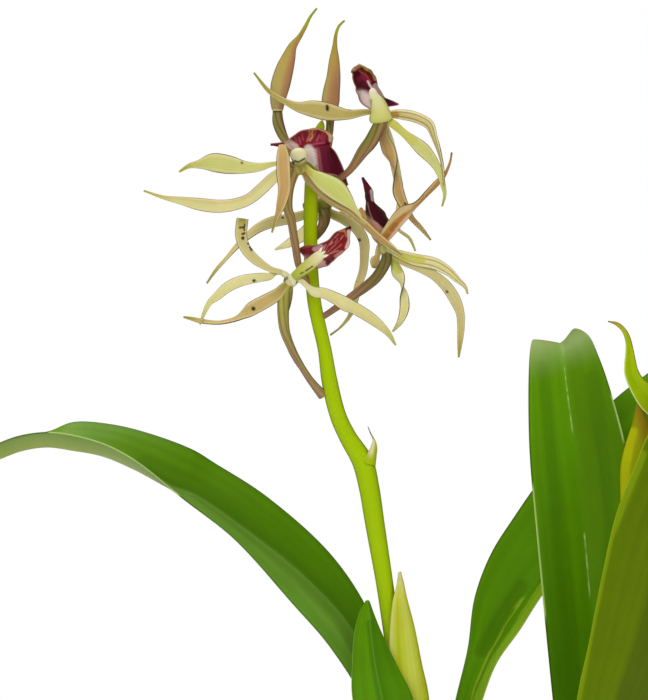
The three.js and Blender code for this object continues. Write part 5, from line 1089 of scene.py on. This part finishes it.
for letter, bloom in BLOOMS.items():
    arms = [tepal(bloom["hub"], arm, kind, flush, k in LINED.get(letter, ()), FLECKS_AND_SHADOW_STROKES[letter], 10 * ord(letter) + k)
            for k, (arm, kind, flush) in enumerate(zip(bloom["tepals"], TEPAL_KINDS[letter], FLUSH[letter]))]
    name = f"bloom_{letter}_tepals"
    knob = hub(bloom["hub"], HUB_SIZES[letter], HUB_COLOURS[letter], FLECKS_AND_SHADOW_STROKES[letter], seed=ord(letter))
    dress(name, [*arms, knob], tepal_skin, [name])

# %% [markdown]
# The lip is the cockle shell: held uppermost, dark wine-red with pink streaks that fan out from its white
# foot, and a pale frilled margin. Each of the five is twisted and folded in its own way, so each has its
# own strokes. On lip b the pink and orange streaks of the upper band are partly its veins and partly painted
# highlight, and the pink line along its fold is a painted highlight.

# %% Lips
LIP_ROWS = 136
LIP_AROUND = 112
DARK_WINE, FOOT, MARGIN = "#480A1C", "#D2B4A4", "#DCA878"
LIP_BASE = {"a": "#5E0E28", "b": "#5A1028", "c": "#761820", "d": "#42081A", "e": "#5A1028"}
LIP_MARGIN = {"a": 0.5, "b": 0.85, "c": 0.8, "d": 0.1, "e": 0.7}
LIP_STROKES = {
    "a": [("#66141C", 0.8, 2.2, [(-43, 424.5), (-39, 424)]), ("#4A1016", 0.7, 0.9, [(-43.4, 424), (-42.8, 421)]),
          ("#E2CCC4", 0.92, 2.3, [(-42, 415.2), (-36, 411.5)]),
          ("#B89C8C", 0.5, 0.5, [(-43.2, 416.5), (-41.6, 413.5)]),
          (DARK_WINE, 0.6, 0.5, [(-42.6, 418.8), (-38.4, 419.6)]),
          ("#8A2040", 0.7, 0.6, [(-42.5, 422), (-40.5, 423.5), (-39.8, 422)]),
          ("#B4483C", 0.7, 0.22, [(-40.4, 424.4), (-39.2, 422.6), (-38.2, 421.2)]),
          ("#C05048", 0.6, 0.2, [(-42.4, 425.2), (-41.2, 424.2)]),
          ("#5E2410", 0.8, 0.5, [(-41.6, 425.6), (-39.4, 424.6), (-38.2, 423.2)]),
          ("#B4884A", 0.9, 0.35, [(-39.0, 425.4), (-37.6, 424.0), (-36.8, 422.0)]),
          ("#D4BC62", 0.95, 0.5, [(-42, 427.8), (-40.6, 426.6), (-39.4, 425.6)]),
          ("#C89A78", 0.9, 0.8, [(-44.3, 426.0), (-43.4, 426.8), (-42.4, 427.2)]),
          ("#E6D8D0", 0.95, 0.26, [(-39.3, 421.4), (-38.3, 419.6), (-37, 418.0)]),
          ("#BDA8A4", 0.9, 0.7, [(-36.6, 419.6), (-34.9, 416.6), (-33.6, 415.2)]),
          ("#560C30", 0.95, 0.9, [(-32.6, 414.2), (-29, 413.3)])],
    "b": [("#860F22", 0.95, 3.4, [(-63, 401), (-59, 402.4), (-54.5, 402.6)]),
          ("#5E1028", 0.6, 0.3, [(-61.4, 402.6), (-60.6, 400.6)]),
          ("#5E1028", 0.6, 0.3, [(-56.6, 403.6), (-57, 401.2)]),
          # partly the lip's veins, partly painted highlight: pink and orange streaks over the upper band of lip b
          ("#B4486A", 0.6, 0.3, [(-64.8, 401.6), (-64.2, 400.4)]),
          ("#C4607A", 0.5, 0.22, [(-63.4, 401.8), (-62.8, 399.4)]),
          ("#BC4C6A", 0.5, 0.22, [(-62.2, 402.8), (-61.9, 400.8)]),
          ("#DC8C60", 0.6, 0.2, [(-59.8, 404.2), (-59.5, 402.8), (-60.5, 400.4)]),
          ("#E0A070", 0.65, 0.24, [(-58.4, 404.4), (-58.8, 403.2), (-58.6, 402), (-59.6, 400.6)]),
          ("#D07868", 0.4, 0.16, [(-57.2, 404.2), (-57.9, 402.4)]),
          ("#CC6A74", 0.5, 0.2, [(-56.2, 402.6), (-57.2, 400.4)]),
          ("#C8506A", 0.45, 0.22, [(-55, 403.2), (-55.6, 401.4)]),
          ("#B84A60", 0.45, 0.22, [(-54.2, 402.4), (-54.9, 400.6)]),
          # painted highlight: a pink line along the lower edge of the band, where it bulges over the fold
          ("#C04878", 0.8, 0.25, [(-60.2, 398.8), (-56.4, 399.6), (-54.6, 399.8)]),
          ("#E0B872", 0.9, 0.45, [(-60.5, 404.8), (-56.5, 405), (-53.7, 403.9), (-52.3, 402.3)]),
          ("#E2CCA8", 0.9, 0.5, [(-52.3, 401.9), (-52.2, 400.6)]),
          ("#5A1224", 0.6, 1.8, [(-54, 396.5), (-51, 391)]), ("#7A1C38", 0.6, 1.2, [(-55.6, 397), (-54.2, 389.2)]),
          ("#B8707A", 0.5, 0.9, [(-57.3, 397), (-56.2, 389.4)]), ("#D0A494", 0.85, 0.6, [(-58, 397), (-57.2, 390)]),
          ("#E8DAD0", 0.95, 1.2, [(-59.9, 397.4), (-58.9, 393)]),
          ("#E0C4B4", 0.85, 1.0, [(-67, 399.6), (-64.8, 398.2)]),
          ("#A88C8C", 0.7, 0.2, [(-66.6, 399.2), (-65.2, 397.6)]),
          ("#621434", 0.95, 0.9, [(-73, 399.6), (-70.4, 399)])],
    "c": [("#881A22", 0.9, 2.6, [(-53.4, 362.6), (-49, 366.5)]), ("#6A1824", 0.9, 1.7, [(-62.6, 361), (-60, 359.5)]),
          ("#96482A", 0.8, 0.4, [(-63, 363.2), (-59.6, 363.9)]),
          ("#C79A9A", 0.85, 0.6, [(-57.8, 362.8), (-55.6, 363.6)]),
          ("#D88C80", 0.5, 0.12, [(-54.4, 361.6), (-53, 364.2), (-51.6, 366)]),
          ("#D88C80", 0.5, 0.12, [(-51, 366.6), (-49.6, 368)]),
          ("#D88C80", 0.5, 0.12, [(-54.1, 361), (-51.4, 363.6), (-49.2, 365.8)]),
          ("#D88870", 0.8, 0.14, [(-48.8, 366.2), (-47.9, 367.4)]),
          ("#D88C80", 0.5, 0.13, [(-53.6, 360.4), (-50.8, 362.4), (-48.4, 364.4)]),
          ("#E0B4A8", 0.7, 0.12, [(-55, 362), (-54, 364.4)]),
          ("#D89080", 0.7, 0.12, [(-52.2, 361.2), (-49.6, 362.2)]),
          ("#D08878", 0.6, 0.1, [(-50.8, 364.8), (-49.8, 366.6)]),
          ("#E0B0A4", 0.7, 0.12, [(-52.4, 364.2), (-51.6, 365.2)]),
          ("#601420", 0.6, 0.2, [(-52.6, 366), (-49.8, 368.6)]),
          ("#B88048", 0.8, 0.35, [(-49.4, 369.2), (-47.6, 369.2)]),
          ("#C08A40", 0.8, 0.15, [(-47.4, 369.2), (-46.9, 367.2)]),
          ("#3A1410", 0.95, 0.5, [(-46.4, 370), (-45.4, 370.7)]),
          ("#DCC4B4", 0.9, 0.5, [(-45.9, 368.8), (-45.6, 365.8), (-46.6, 363.2)]),
          ("#C47C80", 0.8, 0.6, [(-48.4, 361.4), (-50.4, 360)]), ("#D8A8A0", 0.9, 0.9, [(-56, 357), (-54.8, 357.4)]),
          ("#5E1022", 0.9, 0.8, [(-53, 358), (-51.6, 359)])],
    "d": [("#641420", 0.7, 0.9, [(-40.8, 386.8), (-39.4, 383.5)]),
          ("#B07C74", 0.9, 0.12, [(-39.4, 379), (-38.6, 375.6), (-37.6, 373), (-36, 371)]),
          ("#A06A60", 0.8, 0.5, [(-36.2, 371), (-34.6, 369.6)]),
          ("#C0B0AC", 0.9, 0.5, [(-37.9, 383), (-37.4, 380.2)]),
          ("#B48A5C", 0.9, 1.3, [(-41, 373.4), (-38.4, 371.2), (-35.4, 368.6)]),
          ("#C08C88", 0.8, 0.4, [(-38.4, 372.8), (-36.2, 371.4), (-34.2, 369.4)])],
    "e": [(FOOT, 0.8, 2.5, [(-56, 381), (-54, 381)])],
}
LIP_FOLDS = {"b": [(-73, 398.6), (-66.9, 398.6), (-61.6, 397.9), (-59.2, 398.6), (-54.3, 399.3), (-51.5, 400.0),
  (-46, 402)]}
lip_skin = living("lip_gloss", veins=16, vein_share=0.6, vein_lift=0.18, blotch=0.15, blotch_mm=3, grain_mm=0.4,
                  roughness=0.38, specular=0.4, glow=0.15, vein_dark=0.72)
for seed, (letter, bloom) in enumerate(BLOOMS.items()):
    left, middle, right = (line(stations, LIP_ROWS) for stations in bloom["lip"])
    u, v, across = blade_grid(LIP_ROWS, LIP_AROUND)
    half = LIP_AROUND // 2 + 1
    frill = 0.4 * np.abs(v[:, :half]) ** 3 * ripple(u[:, :half], 0 * v[:, :half], 70 + seed, reach=(9, 1))
    rings = blade(left, middle, right, thickness=0.65, around=LIP_AROUND, uneven=frill * np.sin(np.pi * u[:, :half]))
    if letter in LIP_FOLDS:
        fold = np.array(LIP_FOLDS[letter])
        above = rings[..., 2] - np.interp(rings[..., 0], fold[:, 0], fold[:, 1])
        rings[..., 1] -= 1.1 * rise(above, -0.3, 0.3) * (1 - rise(above, 1.5, 5)) * np.sin(np.pi * u)
    tint = paint(np.broadcast_to(linear(LIP_BASE[letter]), rings.shape), rings, LIP_STROKES[letter])
    tint = blend(tint, linear(MARGIN), LIP_MARGIN[letter] * rise(np.abs(v), 0.95, 0.985))
    tint = blend(tint, linear("#3A1614"), 0.8 * rise(np.abs(v), 0.99, 1.0))
    name = f"bloom_{letter}_lip"
    dress(name, [skin(rings, tint, across)], lip_skin, [name])

# %% [markdown]
# The column is one organ, pale green at its foot and cream at its tip, with three small teeth round the cap
# that hides the pollen. On the top bloom it is a slim arrow that widens into the hub. On the front bloom it
# points at the viewer, so only its round end shows.

# %% Columns
COLUMNS = {
    "a": [(-34.6, -9, 406.9, 3.4, 1.6), (-34.8, -9.4, 408.2, 4.0, 2.2), (-34.9, -9.9, 410.4, 3.3, 2.3),
          (-35.7, -10.6, 413.2, 2.6, 2.1), (-37.2, -11.2, 416, 1.7, 1.6), (-37.9, -11.6, 418.9, 1.0, 1.0)],
    "b": [(-63.2, -16.5, 392.6, 2.2, 2.2), (-63.3, -20, 394.6, 2.7, 2.6), (-63.35, -25, 395.7, 3.0, 2.9)],
    "c": [(-65.4, -15.2, 352.7, 1.5, 1.3), (-62.2, -16.6, 355.2, 1.9, 1.6), (-59, -18, 357.8, 2, 1.6),
          (-56.6, -19, 359.9, 1.8, 1.6), (-55, -19.8, 361.2, 1.5, 1.4)],
    "d": [(-33.2, -2.4, 364.2, 1.7), (-34, 0.5, 368, 1.7), (-34.8, 3.5, 371, 2)],
    "e": [(-55, 12.6, 378.2, 1.6), (-55, 18, 378.8, 1.7), (-54.8, 23, 380.2, 1.9)],
}
COLUMN_SHADES = {
    "a": ((0, "#C2C268"), (0.4, "#CCCB78"), (0.75, "#D6D29C"), (1, "#E2DCC4")),
    "b": ((0, "#8C8438"), (0.4, "#A89E54"), (0.6, "#C8C282"), (0.8, "#D6CE9C"), (1, "#DAD2A4")),
    "c": ((0, "#A2AC34"), (0.35, "#BCBC58"), (0.7, "#D8D098"), (1, "#E8DFB6")),
}
COLUMN_ROWS = 80
COLUMN_AROUND = 48
TOOTH_LENGTH = 1.7
PAINTED_CREASE_SHADE = "#3A2C12"
# painted shade: dark lines in the creases round the ends of columns b and c
COLUMN_STROKES = {
    "a": [("#8A8A34", 0.7, 0.3, [(-38.2, 414.6), (-38.6, 411), (-38.9, 407.6)]),
          ("#B0AC50", 0.5, 0.4, [(-34.4, 416.6), (-31.6, 411)])],
    "b": [(PAINTED_CREASE_SHADE, 0.9, 0.22, [(-66, 393.9), (-65.2, 392.6), (-64.6, 393.2), (-63.6, 392.7), (-61.4, 393.9)])],
    "c": [(PAINTED_CREASE_SHADE, 0.9, 0.16, [(-62.7, 354.0), (-61.8, 354.6)]), (PAINTED_CREASE_SHADE, 0.9, 0.18, [(-61, 355), (-58.6, 356.6)])],
}
column_skin = living("column_wax", blotch=0.05, grain_mm=0.4, roughness=0.42, specular=0.35, glow=0.3)


def column_section(s, angle):
    """Club shape with two shallow side wings."""
    return 1 + 0.10 * s * np.cos(2 * angle)


def teeth(stations):
    """Three small cones at the end of a column: forwards along it, and leaning out to both sides."""
    end, before = np.array(stations[-1][:3]), np.array(stations[-2][:3])
    ahead = unit(end - before)
    side = unit(np.cross(ahead, (0, 1, 0)))
    made = []
    for lean in (-1, 0, 1):
        foot = end + side * lean * stations[-1][3] * 0.75 - ahead * 0.5
        tip = foot + (ahead + 0.35 * lean * side) * TOOTH_LENGTH
        made.append(skin(rod([(*foot, 0.55), (*(0.5 * foot + 0.5 * tip), 0.42), (*tip, 0.1)], 16, around=14),
                         linear("#EDE6CC")))
    return made


for letter, stations in COLUMNS.items():
    rings = rod(stations, COLUMN_ROWS, around=COLUMN_AROUND, section=column_section,
                closed=(0.05, 0.3 if letter in "bde" else 0.12))
    s = share_by_row(rings)
    tint = shades(s, *COLUMN_SHADES.get(letter, COLUMN_SHADES["c"]))
    tint = paint(tint, rings, COLUMN_STROKES.get(letter, []))
    name = f"bloom_{letter}_column"
    dress(name, [skin(rings, tint)] + (teeth(stations) if letter in "cde" else []), column_skin, [name])

# %% [markdown]
# The stalk holds the ovary: it is thickest under the bloom, olive with grooves darkened by painted shade, and
# turns a pinkish brown where it meets the stem. The grooves wind slowly, because the flower turns over as it
# opens. Its right side is warmer, partly its own tone and partly painted shade, and painted shade darkens it
# towards its left and right edges.

# %% Stalks
STALK_ROWS = 110
STALK_AROUND = 48
stalk_skin = living("stalk_skin", blotch=0.10, blotch_mm=5, grain_mm=0.4, roughness=0.45, specular=0.3)


def grooves(s, angle):
    """Six grooves whose depth fades to the foot, turned a third of a turn on the way."""
    return 1 - 0.10 * (1 - s) * (0.5 + 0.5 * np.cos(6 * (angle + 0.33 * TURN * s)))


def stalk_piece(name, stations, top, foot, warm_tone_and_shade):
    """The stalk's skin: olive to the left and warmer to the right, that warmth partly its own tone and partly
    painted shade, with painted shade in the grooves and at the left and right edges, and a dark ring where it
    leaves the bloom."""
    rings = rod(stations, STALK_ROWS, around=STALK_AROUND, section=grooves)
    s = share_by_row(rings)
    angle = np.arange(STALK_AROUND)[None, :] * TURN / STALK_AROUND
    to_right = to_the_right(rings)
    tint = shades(s, (0, top), (0.3, top), (0.7, foot), (1, foot))
    # partly the stalk's own tone, partly painted shade: a warmer colour towards the right side
    tint = blend(tint, linear(warm_tone_and_shade), 0.75 * rise(to_right, -0.2, 0.7) * (1 - 0.5 * s))
    # painted shade: darker in the bottoms of the grooves
    tint = blend(tint, linear("#3E3014"), (0.65 - 0.4 * s) * (0.5 + 0.5 * np.cos(6 * (angle + 0.33 * TURN * s))) ** 4)
    # painted shade: darker towards the left and right edges as seen from the front
    tint = blend(tint, linear("#3A2A18"), 0.5 * rise(np.abs(to_right), 1.2, 1.4))
    tint = blend(tint, linear("#33230F"), 0.8 * (1 - rise(s, 0.01, 0.04)))
    dress(name, [skin(rings, tint)], stalk_skin, [name])


STALK_COLOURS = {
    "a": ("#7C7A34", "#9C6450", "#A87C58"), "b": ("#9A8844", "#A0785A", "#AC8650"),
    "c": ("#A4A048", "#9C7A5C", "#9A9240"), "d": ("#6E6830", "#A07458", "#7C6A3C"),
    "e": ("#6A6018", "#7C5A34", "#6E6020"),
}
for letter, bloom in BLOOMS.items():
    stalk_piece(f"bloom_{letter}_stalk", bloom["stalk"], *STALK_COLOURS[letter])

# %% [markdown]
# ## Buds
#
# A bud is three sepals still pressed together, so it has three lengthwise seams and tapers to a point.

# %% Buds
BUDS = {
  "bud_1": {
    "warm_tone_and_shade": -0.1, "fades": (0.5, 0.8),
    "bud": [[-70.9, 4, 411.3, 2], [-70.8, 4, 415, 2.8], [-69.9, 4, 420.2, 3.5], [-68.5, 4, 425.5, 3.3],
      [-67.1, 4, 429.7, 2.6], [-65.6, 4, 433.9, 1.6], [-63.1, 4, 437.4, 0.9], [-61.1, 4, 440.9, 0.7],
      [-59.5, 4, 444.1, 0.5], [-57.1, 4, 447.3, 0.35]],
    "stalk": [[-70.9, 4, 411.4, 1.8], [-70.7, 4, 407.5, 2], [-69.4, 4, 403.4, 1.8],
      [-67.6, 3.7, 399.9, 1.4], [-65.5, 3, 395.8, 1.2], [-62, 1.5, 392.5, 1.2], [-58.6, 0, 390.5, 1.3]],
  },
  "bud_2": {
    "warm_tone_and_shade": -1.0, "fades": (0.36, 0.56),
    "bud": [[-52.3, 4, 409.1, 2], [-52.3, 4, 414.3, 3.2], [-52, 4, 417.8, 3.1], [-51.3, 4, 422.7, 2.6],
      [-51, 4, 429, 1.9], [-50.8, 4, 434.2, 0.9], [-50.4, 4, 438.1, 0.6], [-49.4, 4, 440.9, 0.5],
      [-47.4, 4, 443, 0.35]],
    "stalk": [[-52.4, 4, 409.3, 1.7], [-52.5, 4, 406.5, 1.4], [-52.9, 3.5, 403.1, 1.4],
      [-54.6, 2, 397.5, 1.2], [-58.2, 0, 394, 1.3]],
  },
}
BUD_ROWS = 130
BUD_AROUND = 60
bud_skin = living("bud_wax", blotch=0.08, blotch_mm=6, grain_mm=0.4, roughness=0.45, specular=0.3, glow=0.15)


def seams(s, angle):
    """Three seams where the sepals meet, and a low keel between them."""
    return 1 - 0.07 * np.abs(np.cos(1.5 * angle)) ** 8 + 0.03 * np.cos(3 * angle)


for name, piece in BUDS.items():
    rings = rod(piece["bud"], BUD_ROWS, around=BUD_AROUND, section=seams)
    s = share_by_row(rings)
    to_right = to_the_right(rings)
    tint = shades(s, (0, "#A49060"), (0.15, "#B4A45E"), (0.5, "#AE9648"), (0.68, "#9C8834"), (0.82, "#A2A414"),
                  (1, "#7E9414"))
    # partly the bud's own tone, partly painted shade: a warm brown over the right side of its lower part
    warm_tone_and_shade_share = 0.85 * rise(to_right, piece["warm_tone_and_shade"], piece["warm_tone_and_shade"] + 0.9) * (1 - rise(s, *piece["fades"]))
    tint = blend(tint, linear("#B47E5A"), warm_tone_and_shade_share)
    # painted shade: the bud darkens towards its left and right edges as seen from the front
    tint = blend(tint, linear("#4A3A1A"), 0.75 * rise(np.abs(to_right), 1.2, 1.38))
    tint = blend(tint, linear("#D8D49A"), 0.8 * (1 - rise(s, 0.008, 0.02)))
    dress(name, [skin(rings, tint)], bud_skin, [name])
    stalk_piece(f"{name}_stalk", piece["stalk"], "#8A8242", "#8E8440", "#9C7C54")

# %% [markdown]
# ## Bulbs
#
# A pseudobulb is a swollen stem that stores water. It is ribbed where it has shrunk a little, and its foot
# keeps the torn papery sheaths of its first leaves. The broad side of each bulb here lies along Y, a quarter
# turn from the solid model, where it lies along X.

# %% Pseudobulbs
BULB_ROWS = 90
BULB_AROUND = 72
bulb_skin = living("bulb_skin", blotch=0.12, blotch_mm=8, grain_mm=0.6, roughness=0.42, specular=0.35)


def ribs(s, angle):
    """Seven soft ribs, deepest at the middle of the bulb."""
    return 1 - 0.05 * np.sin(np.pi * s) * (0.5 + 0.5 * np.cos(7 * angle + 2 * np.sin(3 * s)))


BULB_RINGS = {}
for name, stations in BULBS.items():
    BULB_RINGS[name] = rings = rod([(x, y, z, deep, wide) for x, y, z, wide, deep in stations], BULB_ROWS,
                                   around=BULB_AROUND, section=ribs, closed=(0, 0.06))
    s = share_by_row(rings)
    tint = shades(s, (0, "#A08A54"), (0.18, "#8C9440"), (0.4, "#7C9A34"), (0.8, "#6E9828"), (1, "#7AA42A"))
    dress(name, [skin(rings, tint)], bulb_skin, [name])

# %% [markdown]
# The dry sheaths wrap the lower half of each bulb as torn paper. Each is a blade that runs round the bulb
# instead of up it: its lower line follows the foot and its upper line is ragged.

# %% Dry sheaths
WRAP_ROWS = 90
WRAP_AROUND = 32
paper_skin = living("dry_sheath", veins=9, vein_share=0.5, vein_lift=0.3, blotch=0.25, blotch_mm=5, grain_mm=0.5,
                    roughness=0.75, specular=0.2, glow=0.1, vein_dark=0.65)


def wrap(rings, start, sweep, low, high, seed):
    """Torn sheath on a bulb's rings: three lines round the bulb at low, middle and ragged high shares of its
    height, each about half a millimetre outside the skin."""
    u = np.linspace(0, 1, WRAP_ROWS)
    columns = np.round((start + sweep * u) / TURN * rings.shape[1]).astype(int) % rings.shape[1]
    top = high + 0.10 * ripple(u, 0 * u, seed, waves=9, reach=(9, 0)) - 0.15 * np.abs(2 * u - 1) ** 4
    centre = rings.mean(1)
    lines = []
    for share in (low + 0 * u, (low + top) / 2, top):
        rows = np.round(share * (len(rings) - 1)).astype(int)
        out = unit(rings[rows, columns] - centre[rows])
        lift = np.array([0, 0, 1]) * (share * (len(rings) - 1) - rows)[:, None]
        lines.append(rings[rows, columns] + 0.55 * out + lift)
    u, v, across = blade_grid(WRAP_ROWS, WRAP_AROUND)
    tint = blend(linear("#8A6E46"), linear("#B79E70"), 0.5 + 0.5 * v)
    tint = blend(tint, linear("#5E4426"), 0.5 + 0.8 * ripple(u, v, seed + 1, reach=(6, 3)))
    return skin(blade(*lines, thickness=0.4, around=WRAP_AROUND), tint, across)


torn = []
for number, name in enumerate(BULBS):
    rings = BULB_RINGS[name]
    torn.append(wrap(rings, 0.4 + number, 5.2, 0.03, 0.42, 40 + number))
    torn.append(wrap(rings, 3.3 + number, 4.6, 0.02, 0.27, 50 + number))
dress("bulb_sheaths", torn, paper_skin, [])

# %% [markdown]
# ## Bark and roots
#
# An orchid grows in coarse pine bark, which drains at once. Each chip is a split block: flat faces, sharp
# edges, no two alike. One block of 24 faces is made once, and all the chips are computed from it together.

# %% Bark
BARK_LEVEL = 96
BARK_RADIUS = 53.5
CHIP_COUNT = 330
CHIP_POINTS = 27
CHIP_FACES = 24
CHIP_HALVES = ((4, 8), (2.5, 5), (1.3, 2.8))      # half length, half width, half thickness
random = np.random.default_rng(12)
cube = np.array([(x, y, z) for z in (-1, 0, 1) for y in (-1, 0, 1) for x in (-1, 0, 1)], float)


def block_faces():
    """Four quads on each of the six sides of a 3 by 3 by 3 block of points, all facing out."""
    number = np.arange(CHIP_POINTS).reshape(3, 3, 3)
    sides = [number[0], number[-1].T, number[:, 0].T, number[:, -1], number[:, :, 0], number[:, :, -1].T]
    quads = [np.stack([s[:-1, :-1], s[1:, :-1], s[1:, 1:], s[:-1, 1:]], -1).reshape(-1, 4) for s in sides]
    return np.vstack(quads)


def turned(points, angles):
    """Each chip's points turned about X, Y and Z by its own three angles."""
    for axis in range(3):
        c, s = np.cos(angles[:, axis])[:, None], np.sin(angles[:, axis])[:, None]
        a, b = [(1, 2), (2, 0), (0, 1)][axis]
        first, second = points[..., a].copy(), points[..., b].copy()
        points[..., a], points[..., b] = c * first - s * second, s * first + c * second
    return points


k = np.arange(CHIP_COUNT)
reach = (BARK_RADIUS - 4) * np.sqrt((k + 0.5) / CHIP_COUNT)
heading = k * np.pi * (3 - np.sqrt(5))
centres = np.stack([reach * np.cos(heading), reach * np.sin(heading), random.uniform(91.5, 98.0, CHIP_COUNT)], -1)
halves = np.stack([random.uniform(*limits, CHIP_COUNT) for limits in CHIP_HALVES], -1)
rounding = np.where(np.abs(cube).sum(1) > 2, 0.86, 1.0)[:, None]
points = (cube * rounding)[None] * (1 + random.uniform(-0.16, 0.16, (CHIP_COUNT, CHIP_POINTS, 3))) * halves[:, None, :]
angles = random.uniform(-1, 1, (CHIP_COUNT, 3)) * np.array([0.45, 0.45, np.pi])
points = turned(points, angles) + centres[:, None, :]
beyond = length(points[..., :2]) / BARK_RADIUS
points[..., :2] /= np.maximum(beyond, 1)
browns = np.array([linear(c) for c in ("#5E3C22", "#74492A", "#8A6038", "#4A2F1C", "#6E5236", "#8C5230")])
tints = browns[random.integers(0, len(browns), CHIP_COUNT)] * random.uniform(0.75, 1.15, (CHIP_COUNT, 1))
quads = block_faces()[None] + CHIP_POINTS * k[:, None, None]
tints = np.pad(np.repeat(tints, CHIP_POINTS, axis=0), ((0, 0), (0, 1)))
chips = {"points": points.reshape(-1, 3), "tints": tints, "faces": [quads.reshape(-1, 4)],
         "uvs": [np.zeros((CHIP_COUNT * CHIP_FACES, 4, 2))]}
bark_skin = living("pine_bark", blotch=0.45, blotch_mm=2.5, grain_mm=0.8, grain_lift=0.9, roughness=0.9,
                   specular=0.15, glow=0.0)
ground = rod([(0, 0, 3.4, 41.5), (0, 0, BARK_LEVEL - 3, 53)], 40, around=96)
heap = skin(ground, linear("#3A2616"))
dress("bark_mix", [heap, chips], bark_skin, ["bark_mix"], flat=True)

# %% [markdown]
# The rhizome and its roots stay as they are in the solid model, because the bark hides them. They get the
# pale spongy look of velamen, the dead outer layer that soaks up water.

# %% Rhizome and roots
velamen, tree, output = finish("root_velamen")
place = node(tree, "ShaderNodeTexCoord").outputs["Object"]
patches = node(tree, "ShaderNodeTexNoise", [(place, "Vector")], Scale=1 / (3 * MM), Detail=3.0).outputs[0]
ramp = node(tree, "ShaderNodeValToRGB", [(patches, "Fac")])
ramp.color_ramp.elements[0].position, ramp.color_ramp.elements[1].position = 0.35, 0.65
ramp.color_ramp.elements[0].color = (*linear("#8E9468"), 1)
ramp.color_ramp.elements[1].color = (*linear("#C9C4A6"), 1)
shader = node(tree, "ShaderNodeBsdfPrincipled", [(ramp.outputs[0], "Base Color")], Roughness=0.8)
tree.links.new(shader.outputs[0], output.inputs[0])
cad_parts["rhizome_and_roots"].material_slots[0].material = velamen
print("bark chips:", CHIP_COUNT)

# %% [markdown]
# ## Pot
#
# The pot is moulded plastic in a plain terracotta brown, with a rolled rim and drain holes in its floor. A
# turned profile gives the wall. The six holes are cut with a Boolean, the usual way to drill a mesh.

# %% Pot
POT_PROFILE = [
    (0.05, 0), (20, 0), (43, 0), (43.6, 0.15), (44.05, 0.6), (48, 28.2), (52, 56.5), (56.6, 89), (57, 91.8),
    (57.35, 92.25), (59.4, 92.6), (60.1, 93.1), (60.4, 94), (61.2, 99.5), (61.85, 104.6), (61.7, 105.5),
    (61.1, 106), (57.6, 106), (57.1, 105.6), (56.9, 104.8), (54.8, 90), (48.6, 46.5), (42.6, 4.2), (42, 3.2),
    (41.2, 3), (20, 3), (0.05, 3),
]
POT_SIDES = 144
DRAIN_HOLES = 6
DRAIN_RING = 27
DRAIN_RADIUS = 3.5
profile = np.array(POT_PROFILE)
angle = np.arange(POT_SIDES) * TURN / POT_SIDES
rings = np.stack([profile[:, :1] * np.cos(angle), profile[:, :1] * np.sin(angle),
                  profile[:, 1:] * np.ones(POT_SIDES)], -1)
height = rings[..., 2]
tint = blend(linear("#9C6446"), linear("#A66C4C"), rise(height, 60, 100))
tint = blend(tint, linear("#7E5038"), 0.5 * (1 - rise(height, 0, 8)))
pot_plastic = living("moulded_pot_plastic", blotch=0.06, blotch_mm=30, grain_mm=0.7, grain_lift=0.12, roughness=0.55,
                     specular=0.4, glow=0.0)
pot = dress("pot", [skin(rings, tint)], pot_plastic, ["pot"])
drills = []
for number in range(DRAIN_HOLES):
    turn = (number + 0.5) * TURN / DRAIN_HOLES
    x, y = DRAIN_RING * np.cos(turn), DRAIN_RING * np.sin(turn)
    rings = rod([(x, y, -3, DRAIN_RADIUS), (x, y, 6, DRAIN_RADIUS)], 3, around=40)
    drills.append(skin(rings, linear("#7E5038")))
drill = dress("drill", drills, pot_plastic, [])
cut = pot.modifiers.new("drain_holes", "BOOLEAN")
cut.operation, cut.solver, cut.object = "DIFFERENCE", "EXACT", drill
bpy.context.view_layer.update()
drilled = bpy.data.meshes.new_from_object(pot.evaluated_get(bpy.context.evaluated_depsgraph_get()))
pot.modifiers.clear()
pot.data = drilled
bpy.data.objects.remove(drill)
pot.data.set_sharp_from_angle(angle=np.radians(35))
print("pot triangles after drilling:", sum(len(p.vertices) - 2 for p in pot.data.polygons))

# %% [markdown]
# ## Floor
#
# A wide pale disc, so that the plant stands on something from every side.

# %% Floor
FLOOR_RADIUS = 1.3
FLOOR_SIDES = 96
angle = np.arange(FLOOR_SIDES) * TURN / FLOOR_SIDES
edge = np.stack([FLOOR_RADIUS * np.cos(angle), FLOOR_RADIUS * np.sin(angle), np.full(FLOOR_SIDES, -0.0005)], -1)
mesh = bpy.data.meshes.new("floor")
mesh.from_pydata(edge.tolist(), [], [list(range(FLOOR_SIDES))])
floor = bpy.data.objects.new("floor", mesh)
bpy.context.collection.objects.link(floor)
paper, tree, output = finish("floor_paper")
shader = node(tree, "ShaderNodeBsdfPrincipled", Base_Color=(0.8, 0.8, 0.79, 1), Roughness=0.8)
tree.links.new(shader.outputs[0], output.inputs[0])
mesh.materials.append(paper)
